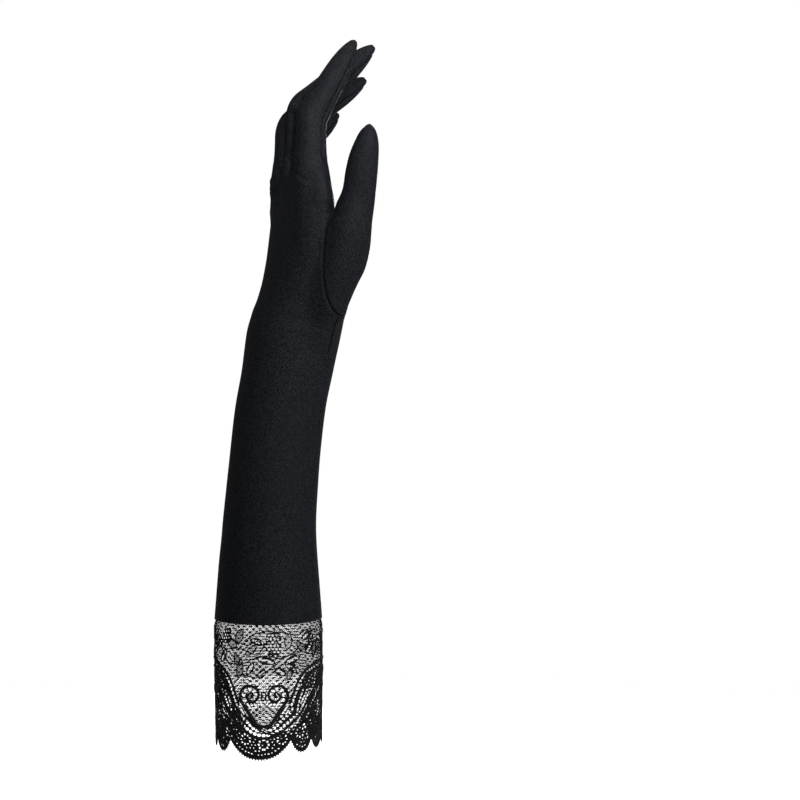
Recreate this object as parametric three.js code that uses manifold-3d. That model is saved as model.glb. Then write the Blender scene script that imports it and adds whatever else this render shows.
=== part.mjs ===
// A long satin glove for the left hand, with a scalloped lace cuff.
//
// It stands as it is worn: fingers up, palm towards +X, thumb towards -Y. The origin is
// the middle of the arm opening, level with the lowest scallops of the lace.
//
// The satin is cut as a real glove is: a back panel and a palm panel that run from the
// hem to the fingertips and meet along both sides of the arm and of every finger, and a
// thumb piece let into the side seam. The lace cuff is tucked inside the satin hem.
// Every piece is a thin wall around the hollow for the arm, hand, fingers and thumb.

import * as THREE from 'three';
import { mergeVertices } from 'three/addons/utils/BufferGeometryUtils.js';
import Module from 'manifold-3d';

// Driving sizes, in millimetres
const clothThickness = 1;
const laceThickness = 1;
const sewingGap = 0.3;
const laceHeight = 80;
const laceFlare = 1.9;
const hemLap = 6;
const eyelet = 2.6;
const sleeveLength = 175;
const hemWidth = 65.4;
const hemDepth = 64;
const forearmWidth = 54.8;
const forearmDepth = 53;
const wristWidth = 58;
const wristDepth = 54;
const wristShift = 16;
const palmLength = 101;
const palmThickness = 30;
const palmBreadth = 76;
const palmShift = 5;
const thumbLength = 126.8;
const thumbBreadth = 19.8;
const thumbReach = 46;
const thumbForward = 36;
const indexLength = 104.5;
const middleLength = 120;
const ringLength = 109.5;
const littleLength = 77;

// Angles, in degrees about the vertical: how far the palm is turned from +X, and the
// direction square to the flat seam of the thumb
const handTurn = 22;
const thumbTurn = -30;

// How finely the round forms are divided
const bodySides = 20;
const fingerSides = 10;
const thumbSides = 12;
const eyeletSides = 6;

// The sleeve from hem to wrist: height as a share of the sleeve, lean as a share of the
// wrist's shift, hem and wrist as shares of those two sections in this one (the rest is
// the forearm's), turn as a share of the hand's turn, and the seams' angles on the section
const sleeveRows = [
  { rise: 0, lean: 0, hem: 1, wrist: 0, turn: 0, radial: -22, ulnar: 112 },
  { rise: 0.31, lean: 0.03, hem: 0.22, wrist: 0, turn: 0, radial: -22, ulnar: 112 },
  { rise: 0.45, lean: 0.14, hem: 0.09, wrist: 0, turn: 0, radial: -22, ulnar: 112 },
  { rise: 0.59, lean: 0.28, hem: 0.02, wrist: 0, turn: 0, radial: -22, ulnar: 110 },
  { rise: 0.73, lean: 0.46, hem: 0, wrist: 0.1, turn: 0, radial: -23, ulnar: 105 },
  { rise: 0.86, lean: 0.73, hem: 0, wrist: 0.3, turn: 0.1, radial: -28, ulnar: 96 },
  { rise: 0.94, lean: 0.88, hem: 0, wrist: 0.7, turn: 0.5, radial: -44, ulnar: 82 }
];

// The palm from the wrist to the finger roots: height as a share of the palm, shift as a
// share of the palm's shift, wrist as the wrist's share in the thickness, spread as the
// knuckles' share in the breadth, close as the scale of the closing top, and the angle of
// both seams from the middle of the palm
const palmRows = [
  { rise: 0, shift: 0, wrist: 1, spread: 0, close: 1, seam: 58 },
  { rise: 0.098, shift: 0.44, wrist: 0.95, spread: 0.09, close: 1, seam: 58 },
  { rise: 0.196, shift: 0.74, wrist: 0.77, spread: 0.27, close: 1, seam: 58 },
  { rise: 0.317, shift: 0.9, wrist: 0.56, spread: 0.5, close: 1, seam: 58 },
  { rise: 0.446, shift: 0.88, wrist: 0.34, spread: 0.73, close: 1, seam: 58 },
  { rise: 0.604, shift: 0.93, wrist: 0.17, spread: 0.93, close: 1, seam: 58 },
  { rise: 0.742, shift: 0.96, wrist: 0.03, spread: 1.03, close: 1, seam: 58 },
  { rise: 0.892, shift: 0.76, wrist: 0, spread: 1.02, close: 1, seam: 58 },
  { rise: 0.95, shift: 0.75, wrist: 0, spread: 1.01, close: 0.94, seam: 62 },
  { rise: 0.98, shift: 0.74, wrist: 0, spread: 1, close: 0.79, seam: 68 },
  { rise: 1, shift: 0.74, wrist: 0, spread: 1, close: 0.52, seam: 76 }
];
const closeBreadth = 0.28;

// The fingers, index to little. The place across the palm and the breadth are shares of
// the palm's breadth, the set towards the palm side and the thickness are shares of its
// thickness, and the knuckle is a share of the finger's length. Lean and bend are the
// angles in degrees of the finger's two lengths from the vertical.
const fingers = [
  { length: indexLength, place: -0.342, set: -0.085, breadth: 0.216, thickness: 0.6, knuckle: 0.48, lean: 0.5, bend: 29 },
  { length: middleLength, place: -0.107, set: -0.11, breadth: 0.216, thickness: 0.65, knuckle: 0.475, lean: 0.5, bend: 47.5 },
  { length: ringLength, place: 0.128, set: -0.16, breadth: 0.205, thickness: 0.61, knuckle: 0.45, lean: -0.5, bend: 56 },
  { length: littleLength, place: 0.362, set: -0.08, breadth: 0.184, thickness: 0.55, knuckle: 0.57, lean: 15, bend: 47 }
];
const fingerRoot = 0.742;
const knuckleRound = 0.055;
const fingerSeam = 0.56;
const fingerTaper = [
  { along: 0, size: 1.24 },
  { along: 0.2, size: 1.18 },
  { along: 0.3, size: 1.04 },
  { along: 0.4, size: 1 },
  { along: 0.48, size: 1.05 },
  { along: 0.6, size: 0.93 },
  { along: 0.72, size: 0.86 },
  { along: 0.85, size: 0.71 },
  { along: 0.95, size: 0.48 },
  { along: 1, size: 0.1 }
];

// The thumb from the foot of its ball, a share of the palm below the wrist, to its tip:
// height as a share of its length, out and forward as shares of its reaches, and breadth
// and depth as shares of its breadth
const thumbFoot = -0.074;
const thumbRows = [
  { rise: 0, out: 0.29, forward: 0.28, breadth: 1.15, depth: 1.15 },
  { rise: 0.083, out: 0.4, forward: 0.4, breadth: 1.1, depth: 1.2 },
  { rise: 0.156, out: 0.475, forward: 0.53, breadth: 1.11, depth: 1.26 },
  { rise: 0.211, out: 0.505, forward: 0.58, breadth: 1.26, depth: 1.31 },
  { rise: 0.266, out: 0.555, forward: 0.64, breadth: 1.36, depth: 1.34 },
  { rise: 0.34, out: 0.635, forward: 0.7, breadth: 1.46, depth: 1.37 },
  { rise: 0.431, out: 0.707, forward: 0.76, breadth: 1.41, depth: 1.33 },
  { rise: 0.541, out: 0.765, forward: 0.83, breadth: 1.27, depth: 1.19 },
  { rise: 0.633, out: 0.825, forward: 0.87, breadth: 1.14, depth: 1.02 },
  { rise: 0.706, out: 0.878, forward: 0.93, breadth: 0.99, depth: 0.92 },
  { rise: 0.853, out: 0.935, forward: 0.985, breadth: 0.88, depth: 0.82 },
  { rise: 0.908, out: 0.965, forward: 1, breadth: 0.74, depth: 0.7 },
  { rise: 0.965, out: 0.99, forward: 1, breadth: 0.47, depth: 0.46 },
  { rise: 1, out: 1.005, forward: 1, breadth: 0.08, depth: 0.08 }
];

// The seam around the ball of the thumb, seen square to its plane: height as a share of
// the thumb's length and distance from the wrist's middle as a share of its reach
const thumbSeam = [
  { rise: 0.651, set: 0.85 },
  { rise: 0.587, set: 0.806 },
  { rise: 0.514, set: 0.768 },
  { rise: 0.441, set: 0.745 },
  { rise: 0.358, set: 0.735 },
  { rise: 0.275, set: 0.742 },
  { rise: 0.193, set: 0.765 },
  { rise: 0.11, set: 0.81 }
];

// The lace from its scalloped edge to the hem: height as a share of the lace, and flare
// as a share of the lace's flare beyond the part inside the hem
const laceRows = [
  { rise: 0, flare: 0.5 },
  { rise: 0.14, flare: 0.75 },
  { rise: 0.96, flare: 1 },
  { rise: 1, flare: 0 }
];
const laceRepeats = 2;

// The scallops of one repeat, with the wide one at the motif: breadths in equal steps of
// the edge, and the height of the lowest point as a share of the lace
const scallops = [
  { steps: 10, bottom: 0 },
  { steps: 4, bottom: 0.05 },
  { steps: 4, bottom: 0.05 },
  { steps: 4, bottom: 0.05 },
  { steps: 4, bottom: 0.05 }
];
const scallopNotch = 0.12;
const edgeShift = -0.02;

// Rows of eyelets in one repeat of the lace, mirrored about the motif's middle: points
// across as shares of the repeat and up as shares of the lace's height
const eyeletRows = {
  band: {
    count: 7,
    points: [[-0.15, 0.335], [-0.105, 0.305], [-0.055, 0.25], [0, 0.23], [0.055, 0.25], [0.105, 0.305], [0.15, 0.335]]
  },
  border: {
    count: 7,
    points: [[-0.215, 0.335], [-0.15, 0.28], [-0.08, 0.2], [0, 0.17], [0.08, 0.2], [0.15, 0.28], [0.215, 0.335]]
  },
  rays: { count: 4, points: [[0.155, 0.41], [0.205, 0.52], [0.27, 0.62], [0.4, 0.7]] }
};
const scroll = { across: 0.075, up: 0.48, outer: 0.055, inner: 0.016, turns: 1.25, count: 6 };

const turned = degrees => new THREE.Vector3(1, 0, 0).applyAxisAngle(
  new THREE.Vector3(0, 0, 1),
  THREE.MathUtils.degToRad(degrees)
);
const up = new THREE.Vector3(0, 0, 1);
const palmward = turned(handTurn);
const littleward = turned(handTurn + 90);
const wristHeight = laceHeight + sleeveLength;
const mix = THREE.MathUtils.lerp;

// A row of a table at any place along it, straight between the rows on both sides
function rowAt(rows, key, place) {
  const next = THREE.MathUtils.clamp(rows.findIndex(row => row[key] >= place), 1, rows.length - 1);
  const [low, high] = [rows[next - 1], rows[next]];
  const share = (place - low[key]) / (high[key] - low[key]);
  return Object.fromEntries(Object.keys(low).map(column => [column, mix(low[column], high[column], share)]));
}

// One cross-section: its middle, its two axes and its half sizes along them
function section(middle, across, along, halfAcross, halfAlong, seams) {
  return { middle, across, along, halfAcross, halfAlong, seams };
}

// The point of a section at an angle, with the wall's inset taken off
function onSection(form, angle, inset = 0) {
  const a = Math.max(form.halfAcross - inset, 0.15);
  const b = Math.max(form.halfAlong - inset, 0.15);
  return form.middle.clone()
    .addScaledVector(form.across, a * Math.cos(angle))
    .addScaledVector(form.along, b * Math.sin(angle));
}

function ring(form, sides, inset, start = 0) {
  const points = [];
  for (let i = 0; i < sides; i++) points.push(onSection(form, start + i * 2 * Math.PI / sides, inset));
  return points;
}

// A closed skin over rings of equal count, each ring anticlockwise seen from the last
function skin(rings) {
  const sides = rings[0].length;
  const middle = points => points.reduce((sum, p) => sum.add(p), new THREE.Vector3()).divideScalar(sides);
  const points = [...rings.flat(), middle(rings[0]), middle(rings.at(-1))];
  const index = [];
  for (let i = 0; i < sides; i++) {
    const next = (i + 1) % sides;
    for (let r = 0; r < rings.length - 1; r++) {
      const low = r * sides;
      const high = low + sides;
      index.push(low + i, low + next, high + next, low + i, high + next, high + i);
    }
    const last = (rings.length - 1) * sides;
    index.push(points.length - 2, next, i, points.length - 1, last + i, last + next);
  }
  const geometry = new THREE.BufferGeometry().setFromPoints(points);
  return geometry.setIndex(index);
}

// Solids are joined and cut as closed meshes with shared corners
const wasm = await Module();
wasm.setup();

function solid(geometry) {
  const bare = geometry.clone();
  bare.deleteAttribute('normal');
  bare.deleteAttribute('uv');
  const merged = mergeVertices(bare, 1e-4);
  return new wasm.Manifold(new wasm.Mesh({
    numProp: 3,
    vertProperties: new Float32Array(merged.attributes.position.array),
    triVerts: new Uint32Array(merged.index.array)
  }));
}

// The arm's sections, from the hem up to the top of the palm
function sleeveSection(row) {
  const rest = 1 - row.hem - row.wrist;
  return section(
    new THREE.Vector3(row.lean * wristShift, 0, laceHeight + row.rise * sleeveLength),
    turned(row.turn * handTurn),
    turned(row.turn * handTurn + 90),
    (row.hem * hemWidth + row.wrist * wristWidth + rest * forearmWidth) / 2,
    (row.hem * hemDepth + row.wrist * wristDepth + rest * forearmDepth) / 2,
    [row.radial, row.ulnar]
  );
}

function palmSection(row) {
  const breadthScale = mix(1, row.close, closeBreadth);
  return section(
    new THREE.Vector3(wristShift + row.shift * palmShift, 0, wristHeight + row.rise * palmLength),
    palmward,
    littleward,
    mix(palmThickness, wristWidth, row.wrist) / 2 * row.close,
    mix(wristDepth, palmBreadth, row.spread) / 2 * breadthScale,
    [-row.seam, row.seam]
  );
}

const bodySections = [...sleeveRows.map(sleeveSection), ...palmRows.map(palmSection)];

function moved(form, lift) {
  return { ...form, middle: form.middle.clone().addScaledVector(up, lift) };
}

function body(inset) {
  const forms = [...bodySections];
  if (inset > 0) {
    forms.unshift(moved(forms[0], -hemLap));
    forms.push(moved(forms.pop(), -inset));
  }
  return solid(skin(forms.map(form => ring(form, bodySides, inset))));
}

// A finger's middle line: straight to the knuckle, round it, and straight to the tip
function fingerPath(finger) {
  const rootForm = palmSection(rowAt(palmRows, 'rise', fingerRoot));
  const root = rootForm.middle.clone()
    .addScaledVector(palmward, finger.set * palmThickness)
    .addScaledVector(littleward, finger.place * palmBreadth);
  const heading = degrees => up.clone().applyAxisAngle(littleward, THREE.MathUtils.degToRad(degrees));
  const knuckle = root.clone().addScaledVector(heading(finger.lean), finger.knuckle * finger.length);
  const tip = knuckle.clone().addScaledVector(heading(finger.bend), (1 - finger.knuckle) * finger.length);
  const round = knuckleRound * finger.length;
  const before = knuckle.clone().addScaledVector(heading(finger.lean), -round);
  const after = knuckle.clone().addScaledVector(heading(finger.bend), round);
  const path = new THREE.CurvePath();
  path.add(new THREE.LineCurve3(root, before));
  path.add(new THREE.QuadraticBezierCurve3(before, knuckle, after));
  path.add(new THREE.LineCurve3(after, tip));
  return path;
}

function fingerSection(finger, path, along) {
  const { size } = rowAt(fingerTaper, 'along', along);
  const across = littleward.clone().cross(path.getTangentAt(along)).normalize();
  return section(
    path.getPointAt(along),
    across,
    littleward,
    finger.thickness * palmThickness / 2 * size,
    finger.breadth * palmBreadth / 2 * Math.min(size, 1)
  );
}

function fingerStops(finger, inset) {
  const last = 1 - 2 * inset / finger.length;
  const bend = [-1, 0, 1, 2].map(step => finger.knuckle + step * knuckleRound);
  return [0, 0.2, 0.3, ...bend, 0.72, 0.85, 0.95, last];
}

function fingerSolid(finger, inset) {
  const path = fingerPath(finger);
  const forms = fingerStops(finger, inset).map(along => fingerSection(finger, path, along));
  return solid(skin(forms.map(form => ring(form, fingerSides, inset))));
}

function thumbSection(row) {
  return section(
    new THREE.Vector3(
      wristShift + row.out * thumbReach,
      -row.forward * thumbForward,
      wristHeight + palmLength * thumbFoot + row.rise * thumbLength
    ),
    turned(0),
    turned(90),
    row.breadth * thumbBreadth / 2,
    row.depth * thumbBreadth / 2
  );
}

function thumbSolid(inset) {
  const forms = thumbRows.map(thumbSection);
  if (inset > 0) forms.push(moved(forms.pop(), -2 * inset));
  return solid(skin(forms.map(form => ring(form, thumbSides, inset))));
}

// The whole hand and arm, full size or inset by the cloth
function whole(inset) {
  return [thumbSolid(inset), ...fingers.map(finger => fingerSolid(finger, inset))]
    .reduce((sum, form) => sum.add(form), body(inset));
}

// The space of the thumb piece: all that lies beyond the thumb's seam, up past its tip
function thumbSpace(gap) {
  const outward = turned(thumbTurn);
  const start = outward.x * wristShift;
  const height = rise => wristHeight + palmLength * thumbFoot + rise * thumbLength;
  const far = start + 2 * thumbReach;
  const line = thumbSeam.map(row => new THREE.Vector2(start + row.set * thumbReach + gap, height(row.rise)));
  const top = height(1) + 2 * clothThickness;
  const shape = new THREE.Shape([
    new THREE.Vector2(line[0].x, top),
    ...line,
    new THREE.Vector2(far, line.at(-1).y),
    new THREE.Vector2(far, top)
  ]);
  const depth = 4 * thumbForward;
  const geometry = new THREE.ExtrudeGeometry(shape, { depth, bevelEnabled: false });
  geometry.translate(0, 0, -depth / 2);
  geometry.applyMatrix4(new THREE.Matrix4().makeBasis(outward, up, outward.clone().cross(up)));
  return solid(geometry);
}

// The space of the back panel along the arm and palm: behind the line between both seams
function backSpace(gap) {
  const reach = palmBreadth;
  const rings = [...bodySections, moved(bodySections.at(-1), clothThickness)].map(form => {
    const [radial, ulnar] = form.seams.map(angle => onSection(form, THREE.MathUtils.degToRad(angle)));
    const line = ulnar.clone().sub(radial).normalize();
    const front = line.clone().cross(up);
    const near = side => side.clone().addScaledVector(front, gap);
    const start = near(radial).addScaledVector(line, -thumbBreadth);
    const end = near(ulnar).addScaledVector(line, thumbBreadth);
    return [start, end, end.clone().addScaledVector(front, -reach), start.clone().addScaledVector(front, -reach)];
  });
  rings[0] = rings[0].map(p => p.clone().addScaledVector(up, -clothThickness));
  return solid(skin(rings));
}

// The space of the back panel along one finger, seen from the side of the hand
function fingerSpace(finger, gap) {
  const path = fingerPath(finger);
  const top = bodySections.at(-1);
  const flat = p => new THREE.Vector2(p.dot(palmward), p.z);
  const palmLine = flat(onSection(top, THREE.MathUtils.degToRad(top.seams[1]))).x;
  const seam = [new THREE.Vector2(palmLine + gap, top.middle.z)];
  for (const along of fingerStops(finger, 0).slice(3)) {
    const form = fingerSection(finger, path, along);
    seam.push(flat(form.middle.clone().addScaledVector(form.across, form.halfAcross * fingerSeam + gap)));
  }
  const tip = fingerSection(finger, path, 1);
  const beyond = tip.middle.clone().addScaledVector(path.getTangentAt(1), palmThickness / 4);
  const behind = beyond.clone().addScaledVector(tip.across, -palmThickness);
  const back = flat(top.middle).x - palmThickness;
  seam.push(flat(beyond.clone().addScaledVector(tip.across, gap)), flat(behind));
  seam.push(new THREE.Vector2(back, flat(behind).y), new THREE.Vector2(back, top.middle.z));
  const breadth = finger.breadth * palmBreadth + 2 * sewingGap;
  const geometry = new THREE.ExtrudeGeometry(new THREE.Shape(seam), { depth: breadth, bevelEnabled: false });
  geometry.translate(0, 0, -path.getPointAt(0).dot(littleward) - breadth / 2);
  geometry.applyMatrix4(new THREE.Matrix4().makeBasis(palmward, up, palmward.clone().cross(up)));
  return solid(geometry);
}

const shell = whole(0).subtract(whole(clothThickness));
const panels = shell.subtract(thumbSpace(-sewingGap / 2));
const spaces = gap => fingers
  .map(finger => fingerSpace(finger, gap))
  .reduce((sum, form) => sum.add(form), backSpace(gap));

// The lace: a thin band inside the hem that flares below it to a scalloped edge
const repeatWidth = Math.PI * (hemWidth + hemDepth) / 2 / laceRepeats;
const motifAngle = share => -Math.PI / 2 + share * 2 * Math.PI / laceRepeats;

// How high each step of the edge lies, as shares of the lace's height
const repeatSteps = scallops.reduce((sum, scallop) => sum + scallop.steps, 0);
const edgeRises = scallops.flatMap(({ steps, bottom }) => (
  Array.from({ length: steps }, (_, i) => mix(bottom, scallopNotch, (2 * i / steps - 1) ** 2))
));
const cuffSides = laceRepeats * repeatSteps;

// The lace's outer face at the hem just clears the flats of the sleeve's inner face
function laceSection(height, flare) {
  const rise = Math.max(0, height - laceHeight) / sleeveLength;
  const sleeve = sleeveSection(rowAt(sleeveRows, 'rise', rise));
  const flats = Math.cos(Math.PI / bodySides);
  const inside = half => (half - clothThickness) * flats - sewingGap + flare * laceFlare;
  return section(
    new THREE.Vector3(sleeve.middle.x, 0, height),
    sleeve.across,
    sleeve.along,
    inside(sleeve.halfAcross),
    inside(sleeve.halfAlong)
  );
}

function laceBand(inset) {
  const forms = laceRows.map(row => laceSection(row.rise * laceHeight, row.flare));
  forms.push(laceSection(laceHeight + hemLap + inset, 0));
  const start = motifAngle(edgeShift - scallops[0].steps / repeatSteps / 2);
  const rings = forms.map(form => ring(form, cuffSides, inset, start));
  if (inset > 0) rings[0] = rings[0].map(p => p.setZ(-inset));
  else rings[0] = rings[0].map((p, i) => p.setZ(edgeRises[i % repeatSteps] * laceHeight));
  return solid(skin(rings));
}

// One eyelet's hole, square through the band
function hole(across, height, repeat) {
  const angle = motifAngle(across / repeatWidth + repeat);
  const form = laceSection(height, 0);
  const reach = 4 * (laceThickness + laceFlare);
  const geometry = new THREE.CylinderGeometry(eyelet / 2, eyelet / 2, reach, eyeletSides);
  geometry.rotateZ(Math.PI / 2).rotateZ(angle);
  const middle = onSection(form, angle);
  return solid(geometry.translate(middle.x, middle.y, height));
}

function rowOfEyelets({ count, points }) {
  const curve = new THREE.SplineCurve(points.map(([across, rise]) => (
    new THREE.Vector2(across * repeatWidth, rise * laceHeight)
  )));
  return curve.getSpacedPoints(count - 1);
}

function scrollOfEyelets() {
  const points = [];
  const middle = new THREE.Vector2(scroll.across * repeatWidth, scroll.up * laceHeight);
  for (let i = 0; i < scroll.count; i++) {
    const share = Math.sqrt(i / (scroll.count - 1));
    const radius = mix(scroll.outer, scroll.inner, share) * repeatWidth;
    const angle = (1 - share) * scroll.turns * 2 * Math.PI;
    points.push(new THREE.Vector2(radius * Math.cos(angle), radius * Math.sin(angle)).add(middle));
  }
  return points;
}

const mirrored = points => [...points, ...points.map(p => new THREE.Vector2(-p.x, p.y))];
const eyelets = [
  ...rowOfEyelets(eyeletRows.band),
  ...rowOfEyelets(eyeletRows.border),
  ...mirrored(rowOfEyelets(eyeletRows.rays)),
  ...mirrored(scrollOfEyelets())
];

function lace() {
  let band = laceBand(0).subtract(laceBand(laceThickness));
  for (let repeat = 0; repeat < laceRepeats; repeat++) {
    for (const eye of eyelets) band = band.subtract(hole(eye.x, eye.y, repeat));
  }
  return band;
}

const satin = { color: 0x141417, roughness: 0.42, metalness: 0 };
const thread = { color: 0x101012, roughness: 0.8, metalness: 0 };

function piece(name, form, look) {
  const { vertProperties, triVerts } = form.getMesh();
  const geometry = new THREE.BufferGeometry();
  geometry.setAttribute('position', new THREE.BufferAttribute(vertProperties, 3));
  geometry.setIndex(new THREE.BufferAttribute(triVerts, 1));
  const faceted = geometry.toNonIndexed();
  faceted.computeVertexNormals();
  const mesh = new THREE.Mesh(faceted, new THREE.MeshStandardMaterial(look));
  mesh.name = name;
  return mesh;
}

const glove = new THREE.Group();
glove.add(
  piece('back_panel', panels.intersect(spaces(-sewingGap / 2)), satin),
  piece('palm_panel', panels.subtract(spaces(sewingGap / 2)), satin),
  piece('thumb', shell.intersect(thumbSpace(sewingGap / 2)), satin),
  piece('lace_cuff', lace(), thread)
);

export default glove;
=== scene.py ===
"""Looks of a long satin glove with a lace cuff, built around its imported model.

The satin is one smooth surface, drawn from the same tables of cross-sections as the
solids, and cut into its three panels along the seams. The lace is laid out flat, as
thread on a plane of girth and height, and then wrapped around the cuff.
"""

import math

import bpy
import numpy as np
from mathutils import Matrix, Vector


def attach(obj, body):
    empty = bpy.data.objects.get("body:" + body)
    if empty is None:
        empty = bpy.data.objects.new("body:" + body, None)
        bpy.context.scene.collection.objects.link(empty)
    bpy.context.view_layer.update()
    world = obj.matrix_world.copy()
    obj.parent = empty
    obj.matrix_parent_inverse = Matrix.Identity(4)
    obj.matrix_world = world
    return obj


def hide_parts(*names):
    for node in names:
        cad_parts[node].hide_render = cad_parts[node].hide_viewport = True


bl_info = {
    "name": "Long Satin Glove",
    "version": (1, 0, 0),
    "blender": (4, 5, 0),
    "location": "3D View > Sidebar > Glove",
    "description": "Builds a long satin glove with a scalloped lace cuff",
    "category": "Add Mesh",
}

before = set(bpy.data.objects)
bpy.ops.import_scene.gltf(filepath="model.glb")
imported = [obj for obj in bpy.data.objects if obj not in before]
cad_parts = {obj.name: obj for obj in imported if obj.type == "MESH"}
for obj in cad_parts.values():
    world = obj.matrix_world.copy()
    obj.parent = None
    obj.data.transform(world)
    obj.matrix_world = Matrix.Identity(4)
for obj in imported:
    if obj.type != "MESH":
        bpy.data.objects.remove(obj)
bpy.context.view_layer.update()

MM = 0.001

# Sizes of the worn form in millimetres, as in the part's source
LACE_HEIGHT = 80.0
SLEEVE_LENGTH = 175.0
WRIST_HEIGHT = LACE_HEIGHT + SLEEVE_LENGTH
HEM_SIZE = (65.4, 64.0)
FOREARM_SIZE = (54.8, 53.0)
WRIST_SIZE = (58.0, 54.0)
WRIST_SHIFT = 16.0
PALM_LENGTH = 101.0
PALM_THICKNESS = 30.0
PALM_BREADTH = 76.0
PALM_SHIFT = 5.0
THUMB_LENGTH = 126.8
THUMB_BREADTH = 19.8
THUMB_REACH = 46.0
THUMB_FORWARD = 36.0
HAND_TURN = 22.0
THUMB_TURN = -30.0

# Sleeve: rise, lean, hem share, wrist share, turn, radial seam, ulnar seam
SLEEVE_ROWS = np.array([
    (0.00, 0.00, 1.00, 0.0, 0.0, -22, 112),
    (0.17, 0.00, 0.57, 0.0, 0.0, -22, 112),
    (0.31, 0.03, 0.22, 0.0, 0.0, -22, 112),
    (0.45, 0.14, 0.09, 0.0, 0.0, -22, 112),
    (0.59, 0.28, 0.02, 0.0, 0.0, -22, 110),
    (0.73, 0.46, 0.00, 0.1, 0.0, -23, 105),
    (0.86, 0.73, 0.00, 0.3, 0.1, -28, 96),
    (0.94, 0.88, 0.00, 0.7, 0.5, -44, 82),
])

# Palm: rise, shift, wrist share, knuckle spread, closing, seam
PALM_ROWS = np.array([
    (0.000, 0.00, 1.00, 0.00, 1.00, 58),
    (0.098, 0.44, 0.95, 0.09, 1.00, 58),
    (0.196, 0.74, 0.77, 0.27, 1.00, 58),
    (0.317, 0.90, 0.56, 0.50, 1.00, 58),
    (0.446, 0.88, 0.34, 0.73, 1.00, 58),
    (0.604, 0.93, 0.17, 0.93, 1.00, 58),
    (0.742, 0.96, 0.03, 1.03, 1.00, 58),
    (0.860, 0.78, 0.00, 1.02, 0.94, 58),
    (0.930, 0.75, 0.00, 1.01, 0.84, 60),
    (0.975, 0.74, 0.00, 1.00, 0.70, 66),
    (1.000, 0.74, 0.00, 1.00, 0.50, 76),
])

# Fingers: place, set, breadth, thickness, length, knuckle, lean, bend, swelling at the root
FINGERS = {
    "index": (-0.342, -0.125, 0.216, 0.61, 106.0, 0.468, 0.5, 29.8, 0.0),
    "middle": (-0.107, -0.135, 0.216, 0.62, 121.5, 0.468, 0.5, 47.3, 0.03),
    "ring": (0.128, -0.160, 0.205, 0.61, 111.0, 0.450, -0.5, 56.0, 0.12),
    "little": (0.362, -0.080, 0.184, 0.55, 77.0, 0.570, 15.0, 47.0, 0.2),
}

# Root as a share of the palm, side seam as a share of the half thickness, and as shares of a
# finger's length: start of the rounded end, and middle and reach of the swelling
FINGER_ROOT = 0.742
FINGER_SEAM = 0.56
FINGER_CAP = 0.78
ROOT_SWELLING = (0.13, 0.12)
KNUCKLE_RADIUS = 13.0

# Heights at which the fingers and the thumb part from the hand
FINGER_PARTING = 349.0
THUMB_PARTING = 336.0

# How far parts of the glove run together where they meet, how quickly that grows downwards, how
# round their ends are, and how far a finger's foot reaches below its root, as a share of its length
FINGER_WEB = 0.35
FINGER_WEB_GROWTH = 10.0
FINGER_WEB_RISE = 11.0
KNUCKLE_WEB = 3.5
THUMB_WEB = 7.0
THUMB_WEB_RISE = 24.0
THUMB_WEB_LEAST = 0.3
BODY_END = 4
FINGER_END, FINGER_FOOT = 6, 0.4
THUMB_END, THUMB_TOP_END = 5, 1

# Breadth and thickness along a finger: share of its length, share of its full size
FINGER_TAPER = np.array([
    (-0.45, 0.40), (-0.20, 0.85), (0.00, 1.10), (0.20, 1.13), (0.30, 1.04), (0.40, 1.00), (0.48, 1.05),
    (0.60, 0.94), (0.72, 0.87), (0.80, 0.80), (0.92, 0.70), (1.00, 0.60),
])

# Thumb: rise, out, forward, breadth, depth
THUMB_FOOT = -0.074
THUMB_ROWS = np.array([
    (0.000, 0.290, 0.280, 1.15, 1.15),
    (0.083, 0.400, 0.400, 1.10, 1.20),
    (0.156, 0.475, 0.530, 1.11, 1.26),
    (0.211, 0.505, 0.580, 1.26, 1.31),
    (0.266, 0.555, 0.640, 1.36, 1.34),
    (0.340, 0.635, 0.700, 1.46, 1.37),
    (0.431, 0.707, 0.760, 1.41, 1.33),
    (0.541, 0.765, 0.830, 1.27, 1.19),
    (0.633, 0.825, 0.870, 1.14, 1.02),
    (0.706, 0.878, 0.930, 0.99, 0.92),
    (0.780, 0.905, 0.970, 0.96, 0.88),
    (0.853, 0.935, 0.985, 0.88, 0.82),
    (0.908, 0.965, 1.000, 0.74, 0.70),
    (0.965, 0.990, 1.000, 0.47, 0.46),
    (1.000, 1.005, 1.000, 0.08, 0.08),
])

# Seam around the ball of the thumb: rise, distance from the wrist's middle
THUMB_SEAM = np.array([
    (0.110, 0.810), (0.193, 0.765), (0.275, 0.742), (0.358, 0.735),
    (0.441, 0.745), (0.514, 0.768), (0.587, 0.806), (0.651, 0.850),
])

# Seams: height over which the side seams pass from the hand to the fingers, the raised edge beside
# a seam as a share of its depth and width, and how much flatter a seam gets near the fingertips
SEAM_PASSAGE = 14.0
SEAM_RIDGE = 0.12
RIDGE_PLACE = 2.4
TIP_START = 0.86
TIP_LENGTH = 0.1
TIP_EASE = 0.75

# Nearness, as a share of an edge, within which a point is drawn onto a cut, and values taken as none
CUT_DRAW = 0.35
CUT_NONE = 1e-6

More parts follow.
